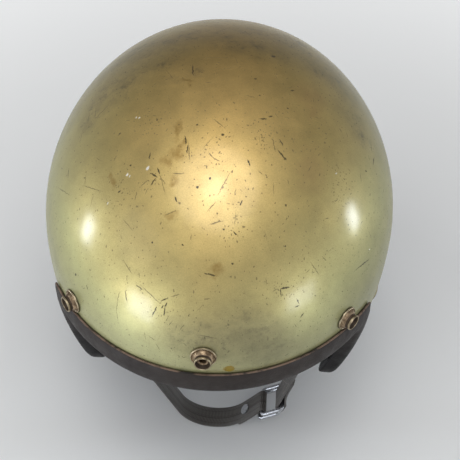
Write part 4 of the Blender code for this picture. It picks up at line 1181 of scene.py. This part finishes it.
LINER_FACE = 0.032
PAD_CLEAR = 0.0004
PAD_DEPTH = 0.014
BLOCK_CLEAR = 0.002
PIPING_CLEAR = 0.003
PIPING_WIRE = 0.0012
CHANNEL_HALF, CHANNEL_DEPTH = 0.0045, 0.0042
SWELL = 0.006
FRAMES = 20
PRESSURE = 4
VOXEL = 0.0042


def blow_up(piece):
    """Swells a closed block as cloth under pressure, no point moving past the swell."""
    modify(piece, "REMESH", mode="VOXEL", voxel_size=VOXEL)
    before = [vert.co.copy() for vert in piece.data.vertices]
    cloth = piece.modifiers.new("cloth", "CLOTH")
    cloth.settings.use_pressure = True
    cloth.settings.uniform_pressure_force = PRESSURE
    cloth.settings.effector_weights.gravity = 0
    cloth.point_cache.frame_start = 1
    cloth.point_cache.frame_end = FRAMES
    for frame in range(1, FRAMES + 1):
        bpy.context.scene.frame_set(frame)
    apply_modifiers(piece)
    bpy.context.scene.frame_set(1)
    for vert, start in zip(piece.data.vertices, before):
        move = vert.co - start
        if move.length > SWELL:
            vert.co = start + move * (SWELL / move.length)


def bind_edge(name, pad, outline):
    """A round piping laid on a pad where its outline comes nearest."""
    tree = BVHTree.FromPolygons([v.co for v in pad.data.vertices],
                                [tuple(p.vertices) for p in pad.data.polygons])
    path = [tree.find_nearest(point)[0] for point in outline]
    count = len(path)
    for _ in range(3):
        path = [(path[k - 1] + path[k] * 2 + path[(k + 1) % count]) / 4 for k in range(count)]
    frames = []
    for k, point in enumerate(path):
        run = (path[(k + 1) % count] - path[k - 1]).normalized()
        aside = run.cross(below_skin(point - WIDEST)[1]).normalized()
        frames.append((point, aside, aside.cross(run)))
    piping = bent_wire(name, frames, PIPING_WIRE, 10)
    give(piping, PIPING)
    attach(piping, "helmet")


def make_pad(name, node, rows, thickness, face_at, edge_at, seams):
    """A block walled inwards from a face, blown up, laid on the liner, sewn and bound."""
    pad = start_piece(name, bpy.ops.mesh.primitive_grid_add, x_subdivisions=14,
                      y_subdivisions=rows, size=2)
    move_each(face_at)
    face_outwards()
    end_piece(pad)
    first = pad.data.polygons[0]
    outwards = first.normal.dot(below_skin(first.center - WIDEST)[1]) > 0
    modify(pad, "SOLIDIFY", thickness=thickness, offset=-1 if outwards else 1)
    blow_up(pad)
    modify(pad, "SUBSURF", levels=1, render_levels=1)
    for vert in pad.data.vertices:
        point = vert.co - WIDEST
        under, normal = below_skin(point)
        proud = max(0, min(1, (under - LINER_FACE - 0.003) / 0.005))
        groove = max(max(0, 1 - abs(seam(point)) / CHANNEL_HALF) for seam in seams)
        depth = under - CHANNEL_DEPTH * proud * groove ** 1.5
        depth = max(LINER_FACE + PAD_CLEAR, min(LINER_FACE + PAD_DEPTH, depth))
        vert.co += (under - depth) * normal
    end_piece(pad, 80)
    give(pad, CLOTH)
    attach(pad, "helmet")
    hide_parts(node)
    turns = (2 * pi * k / 140 for k in range(140))
    bind_edge(name + "_piping", pad, [edge_at(cos(turn), sin(turn)) for turn in turns])


def patch_pad(name, node, first, last, low, high, seams):
    """A pad between two angles round the head and two levels."""
    middle, level = radians(first + last) / 2, (low + high) / 2
    half_turn, half = radians(last - first) / 2, (high - low) / 2
    inset_turn, inset = radians(2.2), 0.003

    def face_at(co):
        return skin_point(middle + (half_turn - inset_turn) * co.x,
                          level + (half - inset) * co.y, LINER_FACE + BLOCK_CLEAR) + WIDEST

    def edge_at(u, v):
        square = max(abs(u), abs(v)) ** 0.8
        return skin_point(middle + half_turn * u / square, level + half * v / square,
                          LINER_FACE + PIPING_CLEAR) + WIDEST
    make_pad(name, node, 8, 0.008, face_at, edge_at, seams)


def crown_pad():
    def below_crown(x, y, depth):
        top = crown_over(x, y)
        return top - (LINER_FACE + depth) * skin_normal(top) + WIDEST

    def face_at(co):
        return below_crown(0.047 * co.x * sqrt(1 - co.y ** 2 / 2),
                           0.062 * co.y * sqrt(1 - co.x ** 2 / 2), BLOCK_CLEAR)
    make_pad("crown_cushion", "crown_pad", 16, 0.0065, face_at,
             lambda u, v: below_crown(0.053 * u, 0.068 * v, PIPING_CLEAR),
             [lambda p: p.x - 0.015, lambda p: p.x + 0.015])


def upright(turn, reach=0.085):
    """A channel up a pad at an angle round the head, and how far a point is from it."""
    return lambda p: reach * ((turn_of(p) - radians(turn) + pi) % (2 * pi) - pi)


def make_pads():
    crown_pad()
    patch_pad("brow_cushion", "brow_pad", -52, 52, -0.007, 0.030,
              [upright(turn) for turn in (-26, 0, 26)])
    for side, first, last in (("left", 64, 108), ("right", -108, -64)):
        patch_pad("cheek_cushion_" + side, "cheek_pad_" + side, first, last, -0.099, -0.022,
                  [lambda p: p.z + 0.048])
    patch_pad("nape_cushion", "nape_pad", 132, 228, -0.091, -0.040,
              [upright(turn, 0.095) for turn in (156, 180, 204)])


# Scene

FLOOR_LEVEL = -0.316
FLOOR_MIDDLE = (0.05, 0, 0)
WHITE, SKYLIGHT = (1, 1, 1), (0.84, 0.91, 1.0)
# Name, azimuth, elevation, distance, width, height, power, spread
OVERHEAD_LAMPS = (
    ("overhead_softbox", 0, 68, 2.4, 2.3, 2.0, 40, 180),
    ("overhead_lamp", -1, 68.5, 2.2, 0.60, 0.55, 5.2, 180),
    ("overhead_glow", -55, 22, 1.6, 0.9, 0.8, 1.4, 180),
)
WINDOW_LAMPS = (
    ("window_left", -83, -1, 0.9, 0.11, 0.19, 0.25, 70),
    ("window_right", 95.5, 0.3, 0.9, 0.095, 0.18, 0.22, 70),
    ("fill_left", -38.5, -9, 0.6, 0.15, 0.15, 0.20, 80),
    ("fill_right", 51, -6, 0.6, 0.17, 0.12, 0.105, 80),
)
PICTURE_WIDTH = 460
FOCAL_LENGTH = 1000
PICTURE_SHIFT = (10, -27)


def direction(azimuth, elevation):
    """Unit vector from the helmet, azimuth counted from straight ahead towards +X."""
    a, e = radians(azimuth), radians(elevation)
    return Vector((sin(a) * cos(e), -cos(a) * cos(e), sin(e)))


def soft_lamp(shape, tint, name, azimuth, elevation, distance, width, height, power, spread):
    lamp = bpy.data.lights.new(name, "AREA")
    lamp.shape, lamp.color = shape, tint
    lamp.size, lamp.size_y = width, height
    lamp.energy, lamp.spread = power, radians(spread)
    holder = bpy.data.objects.new(name, lamp)
    bpy.context.scene.collection.objects.link(holder)
    way = direction(azimuth, elevation)
    holder.location = WIDEST + distance * way
    holder.rotation_euler = (-way).to_track_quat("-Z", "Y").to_euler()
    holder.visible_camera = False


def make_floor():
    """A pale floor that pales further away from the helmet, as camera and gloss see it."""
    floor = start_piece("floor", bpy.ops.mesh.primitive_plane_add, size=14,
                        location=(0, 0, FLOOR_LEVEL))
    end_piece(floor)
    plain = Finish("pale_floor", Roughness=0.9)
    far = plain.length(plain.vector_calc("SUBTRACT", plain.object_place, FLOOR_MIDDLE))
    paler = plain.calc("ADD", plain.level(far, 0.40, 0.76, 0, 0.35),
                       plain.level(far, 0.76, 3.0, 0, 0.12))
    rays = plain.node("LightPath").outputs
    seen = plain.calc("MAXIMUM", rays["Is Camera Ray"], plain.calc(
        "MAXIMUM", rays["Is Glossy Ray"], rays["Is Transmission Ray"]))
    plain.set(Base_Color=(0.79, 0.795, 0.79, 1), Emission_Color=(0.97, 0.99, 1.0, 1),
              Emission_Strength=plain.times(seen, paler))
    give(floor, plain)


def make_surround():
    world = bpy.data.worlds.new("studio_surround")
    bpy.context.scene.world = world
    world.use_nodes = True
    sky = Nodes(world.node_tree)
    height = sky.split(sky.node("TexCoord").outputs["Generated"])["Z"]
    background = sky.tree.nodes["Background"].inputs
    sky.put(background["Strength"], sky.level(height, 0.05, 0.45, 0.57, 0.11))
    sky.put(background["Color"], (0.95, 0.96, 1.0, 1))


def make_camera():
    azimuth, elevation, roll, distance = 3.4, 44.5, 1.0, 0.722
    camera = bpy.data.cameras.new("camera")
    camera.sensor_width = 36
    camera.sensor_fit = "HORIZONTAL"
    camera.lens = camera.sensor_width * FOCAL_LENGTH / PICTURE_WIDTH
    camera.shift_x, camera.shift_y = (shift / PICTURE_WIDTH for shift in PICTURE_SHIFT)
    camera.clip_start = 0.01
    holder = bpy.data.objects.new("camera", camera)
    bpy.context.scene.collection.objects.link(holder)
    back = direction(azimuth, elevation)
    right = (-back).cross(UP).normalized()
    turn = Matrix((right, right.cross(-back), back)).transposed().to_4x4()
    holder.matrix_world = (Matrix.Translation(WIDEST + back * distance) @ turn
                           @ Matrix.Rotation(radians(roll), 4, "Z"))
    bpy.context.scene.camera = holder


make_camera()
make_shell()
make_band()
make_studs()
make_strap_rivets()
make_strap()
make_pads()
for starts, finish in (
        (("snap_", "strap_rivet", "strap_eyelet"), BRASS),
        (("strap_ring", "strap_washer", "tail_button"), STEEL),
        (("chin_strap", "strap_tail"), WEBBING),
        (("crown_pad", "brow_pad", "cheek_pad", "nape_pad"), CLOTH),
        (("eps_liner",), FOAM)):
    for node_name, carried in frame["nodes"].items():
        if node_name.startswith(starts):
            give(carried, finish)
make_floor()
make_surround()
for row in OVERHEAD_LAMPS:
    soft_lamp("ELLIPSE", WHITE, *row)
for row in WINDOW_LAMPS:
    soft_lamp("RECTANGLE", SKYLIGHT, *row)
bpy.context.scene.view_settings.view_transform = "Standard"
